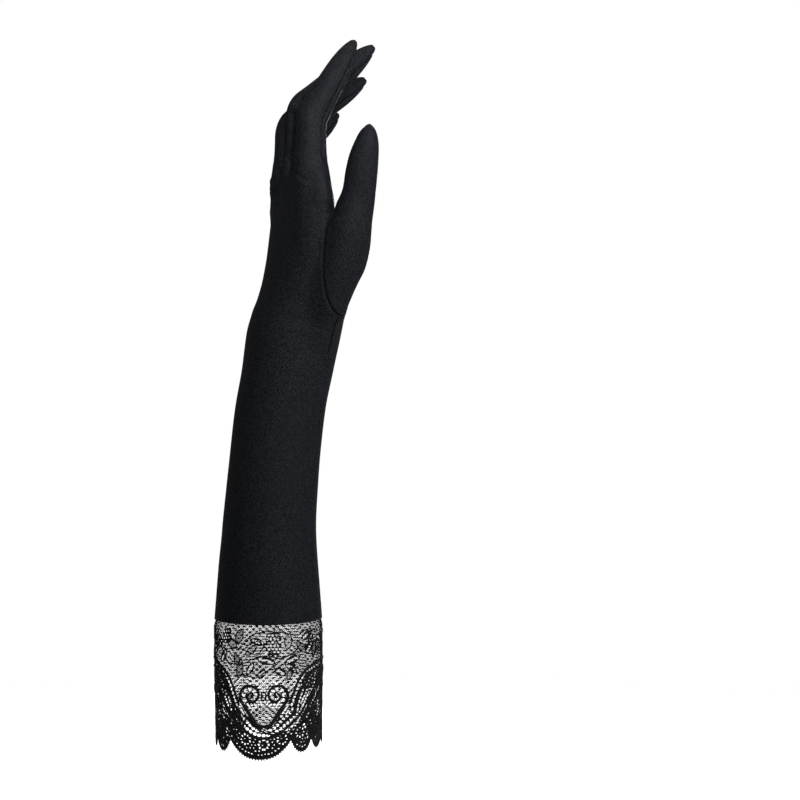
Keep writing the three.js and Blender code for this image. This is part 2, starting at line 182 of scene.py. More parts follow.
# Folds on the thumb's side of the hand: two ends as distance palmward and height, half width, rise
FOLDS = np.array([
    (17.8, 352.0, 18.4, 346.0, 0.9, -0.80),
    (18.4, 346.0, 23.5, 342.2, 0.9, -0.80),
    (19.0, 342.6, 24.5, 339.0, 1.5, 0.45),
    (4.2, 358.0, 8.2, 348.0, 1.2, -0.55),
    (8.2, 348.0, 8.6, 339.0, 1.4, -0.45),
    (3.2, 350.5, 6.2, 342.5, 1.5, 0.55),
    (11.0, 350.0, 11.6, 340.0, 1.8, 0.35),
    (0.5, 345.5, 4.6, 337.5, 1.0, -0.40),
    (34.0, 347.0, 37.2, 331.0, 3.2, 0.90),
    (0.9, 346.0, 1.3, 341.5, 2.4, 1.60),
    (36.0, 323.0, 46.0, 312.0, 2.2, 0.25),
    (12.0, 262.0, 30.0, 258.0, 3.0, -0.22),
    (10.0, 256.0, 34.0, 250.5, 3.2, 0.20),
    (21.0, 394.0, 14.9, 384.0, 1.6, -2.60),
    (14.9, 384.0, 12.6, 360.0, 1.8, -4.00),
    (12.6, 360.0, 12.9, 350.0, 1.7, -3.20),
])


class GloveSizes(bpy.types.PropertyGroup):
    """Sizes of the cloth and its seams."""

    cloth: bpy.props.FloatProperty(
        name="Cloth", description="Thickness of the satin", default=0.0009, unit="LENGTH")
    grain: bpy.props.FloatProperty(
        name="Mesh Step", description="Size of the faces of the satin", default=0.00112, unit="LENGTH")
    seam_depth: bpy.props.FloatProperty(
        name="Seam Depth", description="How far the cloth dips along a seam", default=0.0011, unit="LENGTH")
    seam_width: bpy.props.FloatProperty(
        name="Seam Width", description="Half width of the dip along a seam", default=0.00062, unit="LENGTH")


class LaceSizes(bpy.types.PropertyGroup):
    """Sizes of the lace's threads."""

    net_pitch: bpy.props.FloatProperty(
        name="Net Pitch", description="Distance between the threads of the net", default=0.00125,
        unit="LENGTH")
    net_thread: bpy.props.FloatProperty(
        name="Net Thread", description="Width of a thread of the net", default=0.00013, unit="LENGTH")
    fill_pitch: bpy.props.FloatProperty(
        name="Fill Pitch", description="Distance between the stitches that fill a form", default=0.00058,
        unit="LENGTH")
    cord: bpy.props.FloatProperty(
        name="Cord", description="Width of the outlining cord", default=0.0011, unit="LENGTH")
    picot: bpy.props.FloatProperty(
        name="Picot Pitch", description="Distance between the points of the edge", default=0.0018,
        unit="LENGTH")


class SatinLook(bpy.types.PropertyGroup):
    """Colours and gloss of the satin."""

    colour: bpy.props.FloatVectorProperty(
        name="Satin", description="Colour of the satin", default=(0.0013, 0.0014, 0.0018), size=3,
        subtype="COLOR")
    light_colour: bpy.props.FloatVectorProperty(
        name="Satin Grain", description="Colour of the raised threads", default=(0.0075, 0.0083, 0.0100),
        size=3, subtype="COLOR")
    roughness: bpy.props.FloatProperty(
        name="Roughness", description="Roughness of the satin", default=0.55, subtype="FACTOR")
    sheen: bpy.props.FloatProperty(
        name="Sheen", description="Soft light on the edges of the satin", default=0.002, subtype="FACTOR")


class StageLook(bpy.types.PropertyGroup):
    """Floor, light and camera."""

    floor_height: bpy.props.FloatProperty(
        name="Floor Height", description="Height of the floor", default=-0.16, unit="LENGTH")
    key_power: bpy.props.FloatProperty(
        name="Key Light", description="Power of the main light", default=24.5, unit="POWER")
    back_power: bpy.props.FloatProperty(
        name="Back Light", description="Power of the light behind the glove", default=16.0, unit="POWER")
    fill_power: bpy.props.FloatProperty(
        name="Fill Light", description="Power of the light on the hand", default=2.2, unit="POWER")
    top_power: bpy.props.FloatProperty(
        name="Top Light", description="Power of the light over the floor", default=14.0, unit="POWER")
    rim_power: bpy.props.FloatProperty(
        name="Rim Light", description="Power of the lights beside the glove", default=0.2, unit="POWER")
    room_light: bpy.props.FloatProperty(
        name="Room Light", description="Strength of the even light", default=0.17)


def turned(degrees):
    """Cosine and sine of a turn."""
    angle = math.radians(degrees)
    return math.cos(angle), math.sin(angle)


def heading(angle):
    """A direction that leans palmward from upright by an angle: palmward and upward shares."""
    return np.array([math.sin(angle), math.cos(angle)])


def clockwise(way):
    """The direction a quarter turn clockwise from another, which is the palm side of a heading."""
    return np.array([way[1], -way[0]])


def curve(xs, ys, at):
    """A smooth curve through a table's points, without overshoot."""
    step = np.diff(xs)
    slope = np.diff(ys) / step
    first, last = 2 * step[1:] + step[:-1], step[1:] + 2 * step[:-1]
    tangent = np.concatenate([slope[:1], np.zeros(len(xs) - 2), slope[-1:]])
    level = slope[:-1] * slope[1:] > 0
    safe = np.where(level, slope[:-1], 1.0), np.where(level, slope[1:], 1.0)
    tangent[1:-1] = np.where(level, (first + last) / (first / safe[0] + last / safe[1]), 0)
    at = np.clip(at, xs[0], xs[-1])
    i = np.clip(np.searchsorted(xs, at) - 1, 0, len(step) - 1)
    t = (at - xs[i]) / step[i]
    return (
        (2 * t**3 - 3 * t**2 + 1) * ys[i] + (t**3 - 2 * t**2 + t) * step[i] * tangent[i]
        + (3 * t**2 - 2 * t**3) * ys[i + 1] + (t**3 - t**2) * step[i] * tangent[i + 1]
    )


def dense(places, table, count=1200):
    """The table's columns drawn smooth over many places: places first, then columns."""
    fine = np.linspace(places[0], places[-1], count)
    return fine, [curve(places, column, fine) for column in table]


def body_table():
    """Heights of the sleeve and palm, with middle, half sizes, turn and seam angles at each."""
    sleeve, palm = SLEEVE_ROWS.T, PALM_ROWS.T
    rest = 1 - sleeve[2] - sleeve[3]
    height = np.concatenate([LACE_HEIGHT + sleeve[0] * SLEEVE_LENGTH, WRIST_HEIGHT + palm[0] * PALM_LENGTH])
    middle = np.concatenate([sleeve[1] * WRIST_SHIFT, WRIST_SHIFT + palm[1] * PALM_SHIFT])
    half = []
    for side, knuckles, closing in ((0, PALM_THICKNESS, palm[4]), (1, PALM_BREADTH, 1 + (palm[4] - 1) * 0.5)):
        low = sleeve[2] * HEM_SIZE[side] + sleeve[3] * WRIST_SIZE[side] + rest * FOREARM_SIZE[side]
        share = palm[2] if side == 0 else 1 - palm[3]
        high = (share * WRIST_SIZE[side] + (1 - share) * knuckles) * closing
        half.append(np.concatenate([low, high]) / 2)
    turn = np.concatenate([sleeve[4], np.ones(len(PALM_ROWS))]) * HAND_TURN
    radial = np.concatenate([sleeve[5], -palm[5]])
    ulnar = np.concatenate([sleeve[6], palm[5]])
    return dense(height, [middle, *half, turn, radial, ulnar])


def thumb_table():
    """Heights of the thumb, with middle and half sizes at each."""
    rise, out, forward, breadth, depth = THUMB_ROWS.T
    height = WRIST_HEIGHT + PALM_LENGTH * THUMB_FOOT + rise * THUMB_LENGTH
    columns = [WRIST_SHIFT + out * THUMB_REACH, -forward * THUMB_FORWARD,
               breadth * THUMB_BREADTH / 2, depth * THUMB_BREADTH / 2]
    return dense(height, columns)


BODY_Z, BODY = body_table()
THUMB_Z, THUMB = thumb_table()
TAPER_AT, (TAPER,) = dense(FINGER_TAPER[:, 0], [FINGER_TAPER[:, 1]])


def smooth_min(a, b, reach):
    """The lesser of two distances, rounded off where they are alike."""
    share = np.maximum(reach - np.abs(a - b), 0) / reach
    return np.minimum(a, b) - share**2 * reach / 4


def ellipse_gap(parts, rest=0.0, slope=0.0):
    """Distance to an ellipse or ellipsoid, near enough close to its surface."""
    near = rest**2 + sum((p / half) ** 2 for p, half in parts)
    steep = slope**2 + sum((p / half**2) ** 2 for p, half in parts)
    size = np.sqrt(near)
    return np.where(size < 0.05, -5.0, size * (size - 1) / np.sqrt(np.maximum(steep, 1e-9)))


def body_frame(p):
    """Each point in the turned section of the sleeve or palm, and that section's sizes."""
    middle, thick, broad, turn, radial, ulnar = (np.interp(p[:, 2], BODY_Z, column) for column in BODY)
    c, s = np.cos(np.radians(turn)), np.sin(np.radians(turn))
    x, y = p[:, 0] - middle, p[:, 1]
    return c * x + s * y, c * y - s * x, thick, broad, radial, ulnar


def body_gap(p):
    """Signed distance to the sleeve and palm."""
    u, v, thick, broad, _, _ = body_frame(p)
    side = ellipse_gap([(u, thick), (v, broad)])
    return -smooth_min(-side, BODY_Z[-1] - p[:, 2], BODY_END)


def finger_line(finger):
    """The finger's middle line seen across the hand: start, headings and lengths."""
    place, ahead, _, _, length, knuckle, lean, bend, _ = finger
    c, s = turned(HAND_TURN)
    middle = float(np.interp(WRIST_HEIGHT + FINGER_ROOT * PALM_LENGTH, BODY_Z, BODY[0]))
    start = np.array([middle * c + ahead * PALM_THICKNESS, WRIST_HEIGHT + FINGER_ROOT * PALM_LENGTH])
    side = -middle * s + place * PALM_BREADTH
    headings = [heading(math.radians(angle)) for angle in (lean, bend)]
    cut = KNUCKLE_RADIUS * math.tan(math.radians(bend - lean) / 2)
    arc = KNUCKLE_RADIUS * math.radians(bend - lean)
    first, last = knuckle * length - cut, (1 - knuckle) * length - cut
    return start, side, headings, first, arc, last


def finger_frame(p, finger):
    """Length along the finger, and distances palmward and across, of each point."""
    start, side, (up, over), first, arc, _ = finger_line(finger)
    c, s = turned(HAND_TURN)
    q = np.stack([p[:, 0] * c + p[:, 1] * s, p[:, 2]], 1)
    across = p[:, 1] * c - p[:, 0] * s - side
    palm_up, palm_over = clockwise(up), clockwise(over)
    bend_start = start + up * first
    centre = bend_start + palm_up * KNUCKLE_RADIUS
    bend_end = centre - palm_over * KNUCKLE_RADIUS
    below, beyond = (q - bend_start) @ up, (q - bend_end) @ over
    w = centre - q
    turn = np.arctan2(w @ -up, w @ palm_up)
    along = first + KNUCKLE_RADIUS * np.clip(turn, 0, arc / KNUCKLE_RADIUS)
    ahead = KNUCKLE_RADIUS - np.hypot(w[:, 0], w[:, 1])
    sunk = q[:, 1] < start[1]
    low, high = below <= 0, (beyond >= 0) & (below > 0)
    along = np.where(low, first + below, np.where(high, first + arc + beyond, along))
    ahead = np.where(low, (q - bend_start) @ palm_up, np.where(high, (q - bend_end) @ palm_over, ahead))
    along = np.where(sunk, q[:, 1] - start[1], along)
    ahead = np.where(sunk, q[:, 0] - start[0], ahead)
    return along, ahead, across


def finger_halves(finger, share):
    """Half thickness and half breadth at a share of the finger's length."""
    size = np.interp(share, TAPER_AT, TAPER)
    middle, reach = ROOT_SWELLING
    swell = 1 + finger[8] * np.exp(-(((share - middle) / reach) ** 2))
    return finger[3] * PALM_THICKNESS / 2 * size * swell, finger[2] * PALM_BREADTH / 2 * np.minimum(size, 1)


def finger_gap(p, finger):
    """Signed distance to one finger."""
    along, ahead, across = finger_frame(p, finger)
    _, _, _, first, arc, last = finger_line(finger)
    total = first + arc + last
    thick, broad = finger_halves(finger, along / total)
    cap = total * (1 - FINGER_CAP)
    rest = np.maximum(along - total * FINGER_CAP, 0) / cap
    side = ellipse_gap([(ahead, thick), (across, broad)], rest, rest / cap)
    return -smooth_min(-side, along + FINGER_FOOT * total, FINGER_END)


def thumb_gap(p):
    """Signed distance to the thumb."""
    x, y, broad, deep = (np.interp(p[:, 2], THUMB_Z, column) for column in THUMB)
    side = ellipse_gap([(p[:, 0] - x, broad), (p[:, 1] - y, deep)])
    above = smooth_min(-side, THUMB_Z[-1] - p[:, 2], THUMB_TOP_END)
    return -smooth_min(above, p[:, 2] - THUMB_Z[0], THUMB_END)


def glove_gap(p):
    """Signed distance to the glove's surface, with its parts run smoothly together."""
    gap = None
    web = FINGER_WEB + FINGER_WEB_GROWTH * np.clip((FINGER_PARTING - p[:, 2]) / FINGER_WEB_RISE, 0, 1)
    for finger in FINGERS.values():
        one = finger_gap(p, finger)
        gap = one if gap is None else smooth_min(gap, one, web)
    gap = smooth_min(gap, body_gap(p), KNUCKLE_WEB)
    crotch = np.clip((THUMB_PARTING - p[:, 2]) / THUMB_WEB_RISE, THUMB_WEB_LEAST, 1)
    return smooth_min(gap, thumb_gap(p), THUMB_WEB * crotch)


def gradient(field, p, value, step=0.05):
    """Slope of a field along each axis."""
    slopes = []
    for axis in range(3):
        shifted = p.copy()
        shifted[:, axis] += step
        slopes.append((field(shifted) - value) / step)
    return np.stack(slopes, 1)


def drop_on(p, rounds, limit=0.8):
    """Moves points onto the glove's surface, and returns its outward directions."""
    for _ in range(rounds):
        gap = glove_gap(p)
        slope = gradient(glove_gap, p, gap)
        steep = np.maximum((slope**2).sum(1), 0.05)
        p = p - slope * np.clip(gap / steep, -limit, limit)[:, None]
    return p, slope / np.sqrt(steep)[:, None]


# Rings of the first, rough tubes: points of each, and their size beside the finished section. Then
# the heights at which tubes end, the step between rings, and the rounds and share of smoothing
RING_SIDES = 40
RING_ANGLES = np.linspace(0, 2 * np.pi, RING_SIDES, endpoint=False)
RING = (np.cos(RING_ANGLES), np.sin(RING_ANGLES))
BODY_SLIM = 0.97
FINGER_SLIM = (0.92, 0.86)
THUMB_SLIM = 0.95
BODY_TUBE = (70, 353)
THUMB_TUBE_FOOT = 252
TUBE_STEP = 4.0
SMOOTHING_ROUNDS = 5
SMOOTHING = 0.6


def tube(rings):
    """A closed tube over rings of points."""
    sides = len(rings[0])
    points = np.concatenate([np.concatenate(rings), [rings[0].mean(0)], [rings[-1].mean(0)]])
    faces = []
    for r in range(len(rings) - 1):
        for i in range(sides):
            j = (i + 1) % sides
            faces.append((r * sides + i, r * sides + j, (r + 1) * sides + j, (r + 1) * sides + i))
    last = (len(rings) - 1) * sides
    for i in range(sides):
        j = (i + 1) % sides
        faces += [(len(points) - 2, j, i), (len(points) - 1, last + i, last + j)]
    return points, faces


def body_ring(z):
    """A ring of the sleeve or palm at one height."""
    middle, thick, broad, turn, _, _ = (np.interp(z, BODY_Z, column) for column in BODY)
    c, s = turned(turn)
    u, v = thick * BODY_SLIM * RING[0], broad * BODY_SLIM * RING[1]
    return np.stack([middle + c * u - s * v, s * u + c * v, np.full(RING_SIDES, z)], 1)


def finger_ring(finger, along):
    """A ring of a finger at one length along its middle line."""
    start, side, (up, _), first, arc, last = finger_line(finger)
    total = first + arc + last
    turn = np.clip((along - first) / arc, 0, 1) * arc / KNUCKLE_RADIUS
    way = heading(math.atan2(up[0], up[1]) + turn)
    inward = clockwise(way)
    at = start + up * min(along, first)
    if along > first:
        at = at + KNUCKLE_RADIUS * (clockwise(up) - inward) + way * max(along - first - arc, 0)
    thick, broad = finger_halves(finger, along / total)
    rest = max(along - total * FINGER_CAP, 0) / (total * (1 - FINGER_CAP))
    shrink = math.sqrt(max(1 - rest**2, 0.01))
    ahead = thick * FINGER_SLIM[0] * shrink * RING[0]
    across = side + broad * FINGER_SLIM[1] * shrink * RING[1]
    plane, height = at[0] + inward[0] * ahead, at[1] + inward[1] * ahead
    c, s = turned(HAND_TURN)
    return np.stack([c * plane - s * across, s * plane + c * across, height], 1)


def thumb_ring(z):
    """A ring of the thumb at one height."""
    x, y, broad, deep = (np.interp(z, THUMB_Z, column) for column in THUMB)
    u, v = broad * THUMB_SLIM * RING[0], deep * THUMB_SLIM * RING[1]
    return np.stack([x + u, y + v, np.full(RING_SIDES, z)], 1)


def rough_tubes():
    """Plain tubes inside each part of the glove, a little slim, for the first mesh."""
    low, high = BODY_TUBE
    tubes = [tube([body_ring(z) for z in np.append(np.arange(low, high - 1, TUBE_STEP), high)])]
    for finger in FINGERS.values():
        total = sum(finger_line(finger)[3:])
        tubes.append(tube([finger_ring(finger, along) for along in np.linspace(6, total - 2, 44)]))
    tubes.append(tube([thumb_ring(z) for z in np.linspace(THUMB_TUBE_FOOT, THUMB_Z[-1] - 1.5, 50)]))
    return tubes


def mesh_object(name, points, faces):
    """A smooth mesh object from points in millimetres."""
    mesh = bpy.data.meshes.new(name)
    mesh.from_pydata((np.asarray(points) * MM).tolist(), [], [tuple(map(int, f)) for f in faces])
    mesh.update()
    mesh.polygons.foreach_set("use_smooth", np.ones(len(mesh.polygons), bool))
    obj = bpy.data.objects.new(name, mesh)
    bpy.context.scene.collection.objects.link(obj)
    return obj


def applied(obj):
    """Applies all modifiers of an object."""
    graph = bpy.context.evaluated_depsgraph_get()
    mesh = bpy.data.meshes.new_from_object(obj.evaluated_get(graph))
    old = obj.data
    obj.modifiers.clear()
    obj.data = mesh
    bpy.data.meshes.remove(old)
    return obj


def mesh_arrays(obj):
    """Points in millimetres and triangles of a mesh object."""
    mesh = obj.data
    points = np.empty(len(mesh.vertices) * 3)
    mesh.vertices.foreach_get("co", points)
    mesh.calc_loop_triangles()
    triangles = np.empty(len(mesh.loop_triangles) * 3, np.int32)
    mesh.loop_triangles.foreach_get("vertices", triangles)
    return points.reshape(-1, 3) / MM, triangles.reshape(-1, 3)


def neighbour_mean(points, triangles):
    """For each point, the middle of the points it is joined to."""
    total, count = np.zeros_like(points), np.zeros(len(points))
    for a, b in ((0, 1), (1, 2), (2, 0)):
        for i, j in ((a, b), (b, a)):
            np.add.at(total, triangles[:, i], points[triangles[:, j]])
            np.add.at(count, triangles[:, i], 1)
    return total / np.maximum(count, 1)[:, None]


def glove_surface(step):
    """The whole glove as an even mesh on its smooth surface."""
    points, faces = [], []
    for tube_points, tube_faces in rough_tubes():
        faces += [tuple(i + len(points) for i in face) for face in tube_faces]
        points += tube_points.tolist()
    rough = mesh_object("rough_glove", points, faces)
    remesh = rough.modifiers.new("even", "REMESH")
    remesh.mode = "VOXEL"
    remesh.voxel_size = step
    applied(rough)
    p, triangles = mesh_arrays(rough)
    bpy.data.objects.remove(rough)
    p, normal = drop_on(p, 6)
    for _ in range(SMOOTHING_ROUNDS):
        pull = neighbour_mean(p, triangles) - p
        pull -= normal * (pull * normal).sum(1)[:, None]
        p, normal = drop_on(p + SMOOTHING * pull, 1)
    p, normal = drop_on(p, 2)
    return p, normal, triangles


def thumb_side(p):
    """Beyond the thumb's seam, positive, and on the rest of the glove, negative."""
    c, s = turned(THUMB_TURN)
    rise, reach = THUMB_SEAM.T
    height = WRIST_HEIGHT + PALM_LENGTH * THUMB_FOOT + rise * THUMB_LENGTH
    line = c * WRIST_SHIFT + curve(height, reach, p[:, 2]) * THUMB_REACH
    line = line + np.maximum(height[0] - p[:, 2], 0) * 2
    return np.minimum(c * p[:, 0] + s * p[:, 1] - line, THUMB_Z[-1] + 2 - p[:, 2])


def nearest_finger(p):
    """On the nearest finger: distance palmward of its side seams, and share of its length."""
    best, side, reach = np.full(len(p), 1e9), np.zeros(len(p)), np.zeros(len(p))
    for finger in FINGERS.values():
        along, ahead, _ = finger_frame(p, finger)
        share = along / sum(finger_line(finger)[3:])
        gap = finger_gap(p, finger)
        side = np.where(gap < best, ahead - FINGER_SEAM * finger_halves(finger, share)[0], side)
        reach = np.where(gap < best, share, reach)
        best = np.minimum(best, gap)
    return side, reach


def palm_side(p):
    """Palmward of the side seams, positive, and towards the back, negative."""
    u, v, thick, broad, radial, ulnar = body_frame(p)
    ends = [(thick * np.cos(np.radians(a)), broad * np.sin(np.radians(a))) for a in (radial, ulnar)]
    along = np.stack([ends[1][0] - ends[0][0], ends[1][1] - ends[0][1]])
    along /= np.hypot(*along)
    arm = (u - ends[0][0]) * along[1] - (v - ends[0][1]) * along[0]
    share = np.clip((p[:, 2] - FINGER_PARTING) / SEAM_PASSAGE, 0, 1)
    share = share * share * (3 - 2 * share)
    return arm * (1 - share) + nearest_finger(p)[0] * share


def seam_distance(field, p, normal):
    """Distance along the cloth from the seam where the field changes sign."""
    value = field(p)
    slope = gradient(field, p, value)
    slope -= normal * (slope * normal).sum(1)[:, None]
    return value / np.clip(np.sqrt((slope**2).sum(1)), 0.35, 3)


def draw_near(points, triangles, values, side, held):
    """Draws free points that lie close to a level onto it, so that the cut leaves no slivers."""
    edges = np.concatenate([triangles[:, pair] for pair in ((0, 1), (1, 2), (2, 0))])
    edges = np.unique(np.sort(edges, 1), axis=0)
    for one, other in (edges.T, edges[:, ::-1].T):
        crossed = (side[one] * side[other] < 0) & ~held[one]
        one, other = one[crossed], other[crossed]
        share = side[one] / (side[one] - side[other])
        near = np.flatnonzero(share < CUT_DRAW)
        near = near[np.argsort(-share[near])]
        one, other, share = one[near], other[near], share[near, None]
        points[one] += (points[other] - points[one]) * share
        values[one] += (values[other] - values[one]) * share
        side[one] = 0


def split_at(points, triangles, values, held, level, column):
    """Cuts the triangles along a level of one column of values."""
    side = values[:, column] - level
    draw_near(points, triangles, values, side, held)
    side = np.where(np.abs(side) < CUT_NONE, 0, side)
    sign = np.sign(side)[triangles]
    crossed = (sign.min(1) < 0) & (sign.max(1) > 0)
    new_points, new_values, made, pieces = [], [], {}, []

    def corner(a, b):
        """The new point where an edge crosses the level, made once."""
        key = (min(a, b), max(a, b))
        if key not in made:
            share = side[key[0]] / (side[key[0]] - side[key[1]])
            new_points.append(points[key[0]] * (1 - share) + points[key[1]] * share)
            new_values.append(values[key[0]] * (1 - share) + values[key[1]] * share)
            made[key] = len(points) + len(new_points) - 1
        return made[key]

    for triangle in triangles[crossed]:
        loop = []
        for a, b in zip(triangle, np.roll(triangle, -1)):
            loop.append((int(a), side[a]))
            if side[a] * side[b] < 0:
                loop.append((corner(int(a), int(b)), 0.0))
        for want in (1, -1):
            part = [i for i, value in loop if value * want >= 0]
            pieces += [(part[0], part[k], part[k + 1]) for k in range(1, len(part) - 1)]
    held = held | (side == 0)
    if new_points:
        points = np.vstack([points, new_points])
        values = np.vstack([values, new_values])
        triangles = np.vstack([triangles[~crossed], pieces])
        held = np.concatenate([held, np.ones(len(new_points), bool)])
    return points, triangles, values, held


def chosen(points, triangles, values, keep):
    """The triangles that are kept, with only their own points."""
    triangles = triangles[keep]
    used, index = np.unique(triangles, return_inverse=True)
    return points[used], index.reshape(-1, 3), values[used]


def vertex_normals(points, triangles):
    """Outward direction at each point."""
    a, b, c = (points[triangles[:, i]] for i in range(3))
    face = np.cross(b - a, c - a)
    normal = np.zeros_like(points)
    for i in range(3):
        np.add.at(normal, triangles[:, i], face)
    return normal / np.maximum(np.linalg.norm(normal, axis=1), 1e-9)[:, None]


def fold_rise(p):
    """How far the folds raise each point."""
    flat, rise = p[:, [0, 2]], np.zeros(len(p))
    for x, z, x2, z2, width, height in FOLDS:
        start, way = np.array([x, z]), np.array([x2 - x, z2 - z])
        share = np.clip((flat - start) @ way / (way @ way), 0, 1)
        away = np.hypot(*(flat - start - share[:, None] * way).T)
        rise += height * np.exp(-((away / width) ** 2))
    return rise


def dressed_surface(sizes):
    """The satin surface, cut along its seams, with the cloth drawn in along them."""
    p, normal, triangles = glove_surface(sizes.grain)
    values = np.stack([
        seam_distance(thumb_side, p, normal),
        seam_distance(palm_side, p, normal),
        p[:, 2] - LACE_HEIGHT,
    ], 1)
    width = sizes.seam_width / MM
    held = np.zeros(len(p), bool)
    for column, level in ((2, 0), (0, 0), (1, 0), (0, width), (0, -width), (1, width), (1, -width)):
        p, triangles, values, held = split_at(p, triangles, values, held, level, column)
    middle = values[triangles].mean(1)
    p, triangles, values = chosen(p, triangles, values, middle[:, 2] > 0)
    normal = vertex_normals(p, triangles)
    on_thumb = np.maximum(values[:, 0], 0)
    side = np.abs(values[:, 0])
    edge = np.abs(values[:, 1]) + on_thumb * 3
    near = np.minimum(side, edge)
    tip = np.clip((nearest_finger(p)[1] - TIP_START) / TIP_LENGTH, 0, 1) * (p[:, 2] > FINGER_PARTING)
    depth = sizes.seam_depth / MM * (1 - TIP_EASE * tip)
    dip = np.exp(-((near / width) ** 2))
    ridge = np.exp(-(((near - RIDGE_PLACE * width) / width) ** 2))
    drop = -depth * dip + SEAM_RIDGE * depth * ridge
    facing = np.clip(0.6 - normal[:, 1] * 1.2, 0, 1)
    p = p + normal * (drop + facing * fold_rise(p))[:, None]
    return p, triangles, values


def new_material(name):
    """A material with its node tree and its shader."""
    material = bpy.data.materials.new(name)
    material.use_nodes = True
    return material, material.node_tree, material.node_tree.nodes["Principled BSDF"]


def set_up(tree, node, values, links):
    """Sets inputs of a node to values, and joins others to the outputs of other nodes."""
    for name, value in values.items():
        node.inputs[name].default_value = value
    for name, output in links.items():
        tree.links.new(output, node.inputs[name])


def add_node(tree, kind, output, values=(), links=()):
    """Adds a shader node, and returns one of its outputs."""
    node = tree.nodes.new("ShaderNode" + kind)
    set_up(tree, node, dict(values), dict(links))
    return node.outputs[output]


def ramp_colours(tree, height, *stops):
    """Colours of a height between two stops of place and colour."""
    colour = add_node(tree, "ValToRGB", "Color", links={"Fac": height})
    for element, (place, stop) in zip(colour.node.color_ramp.elements, stops):
        element.position = place
        element.color = (*stop, 1)
    return colour


def satin_material(look):
    """Near-black stretch satin, with a fine knit grain and a gloss that varies softly."""
    material, tree, shader = new_material("glove_satin")
    place = {"Vector": add_node(tree, "TexCoord", "Object")}
    ribbed = {"Vector": add_node(tree, "Mapping", "Vector", {"Scale": (2400, 2400, 900)}, place)}
    grain = add_node(tree, "TexNoise", "Fac", {"Scale": 1450, "Detail": 2}, place)
    rib = add_node(tree, "TexNoise", "Fac", {"Scale": 1, "Detail": 1}, ribbed)
    cloud = add_node(tree, "TexNoise", "Fac", {"Scale": 28, "Detail": 3}, place)
    weave = add_node(tree, "Math", 0, links={0: grain, 1: rib})
    weave.node.operation = "MULTIPLY"
    low, high = look.roughness - 0.06, look.roughness + 0.08
    reach = {"From Min": 0.3, "From Max": 0.7, "To Min": low, "To Max": high}
    values = {
        "Sheen Weight": look.sheen, "Sheen Roughness": 0.45, "Sheen Tint": (0.75, 0.82, 0.95, 1),
        "Specular IOR Level": 0.02,
    }
    set_up(tree, shader, values, {
        "Base Color": ramp_colours(tree, weave, (0.15, look.colour), (0.38, look.light_colour)),
        "Roughness": add_node(tree, "MapRange", "Result", reach, {"Value": cloud}),
        "Normal": add_node(tree, "Bump", "Normal", {"Strength": 0.5, "Distance": 0.0004}, {"Height": weave}),
    })
    return material


def finish_piece(obj, material, slot, *nodes):
    """Gives a piece its material and body, and hides the imported parts that it stands for; its slot is not
    used.
    """
    obj.data.materials.clear()
    obj.data.materials.append(material)
    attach(obj, "root")
    if nodes:
        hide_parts(*nodes)


def cloth_piece(name, p, triangles, thickness):
    """A panel with its inner side and edges, from its outer surface."""
    obj = mesh_object(name, p, triangles)
    wall = obj.modifiers.new("wall", "SOLIDIFY")
    wall.thickness = thickness
    wall.offset = -1
    return applied(obj)


class GLOVE_OT_satin(bpy.types.Operator):
    """Build the satin back, palm and thumb pieces"""

    bl_idname = "glove.satin"
    bl_label = "Satin Panels"

    def execute(self, context):
        sizes, look = context.scene.glove_sizes, context.scene.glove_satin
        p, triangles, values = dressed_surface(sizes)
        if len(triangles) < 1000:
            raise RuntimeError("the satin surface came out empty")
        middle = values[triangles].mean(1)
        thumb = middle[:, 0] > 0
        palm = middle[:, 1] > 0
        material = satin_material(look)
        parts = {"thumb": thumb, "palm_panel": palm & ~thumb, "back_panel": ~palm & ~thumb}
        for node, keep in parts.items():
            piece_points, piece_triangles, _ = chosen(p, triangles, values, keep)
            obj = cloth_piece("satin_" + node, piece_points, piece_triangles, sizes.cloth)
            finish_piece(obj, material, "satin", node)
        return {"FINISHED"}


# Lace, on a plane of girth and height in millimetres. The middle of the motif is at girth 0, in
# front, and both sides of it are alike all the way round to the far middle. Its tube is given as
# height and radius, and waves a little below the hem: depth, count and start of each wave.
LACE_REPEATS = 2
REPEAT = math.pi * sum(HEM_SIZE) / 2 / LACE_REPEATS
LACE_WAVES = ((0.35, 3, 0.6), (0.2, 7, 0.0))
LACE_WAVES_END = 78
LACE_RADIUS = np.array([
    (0, 31.9), (8, 32.4), (30, 32.9), (60, 33.1), (76, 33.0), (80, 32.0), (82, 31.3), (86, 31.2),
])
LACE_INSET = 0.3
EDGE_START = -22.2
SCALLOPS = ((39.1, 1.2), (15.63, 4.0), (15.63, 4.0), (15.63, 4.0), (15.63, 4.0))
NOTCH = 12.6

# Top of the border from the middle outwards, and the outline of the netted medallion
BORDER_TOP = np.array([
    (0, 31), (13, 31), (15.1, 33.4), (17, 37), (19.6, 43.1), (21.2, 46.8), (23.6, 49.6), (27, 53), (35, 55),
    (43, 56.5), (50.8, 57), (57, 54.5), (63, 47.5), (69, 36.5), (75, 25), (81, 13.5), (82, 3), (101.6, 2),
])
MEDALLION = np.array([(0, 20.2), (3.2, 20.7), (4.5, 21.8), (8.2, 27.2), (12.0, 32.8)])
MEDALLION_TOP = 33.2
SCROLL_MIDDLE = (7.5, 38.5)
SCROLL_RADIUS = 7.5
SCROLL_FOOT = -35

# Link between the scrolls: half width, top, and heights of its bars, with their half length
LINK_WIDTH, LINK_TOP = 1.4, 40.5
LINK_BARS = (36.2, 37.6, 39.0)
LINK_BAR_REACH = 1.3

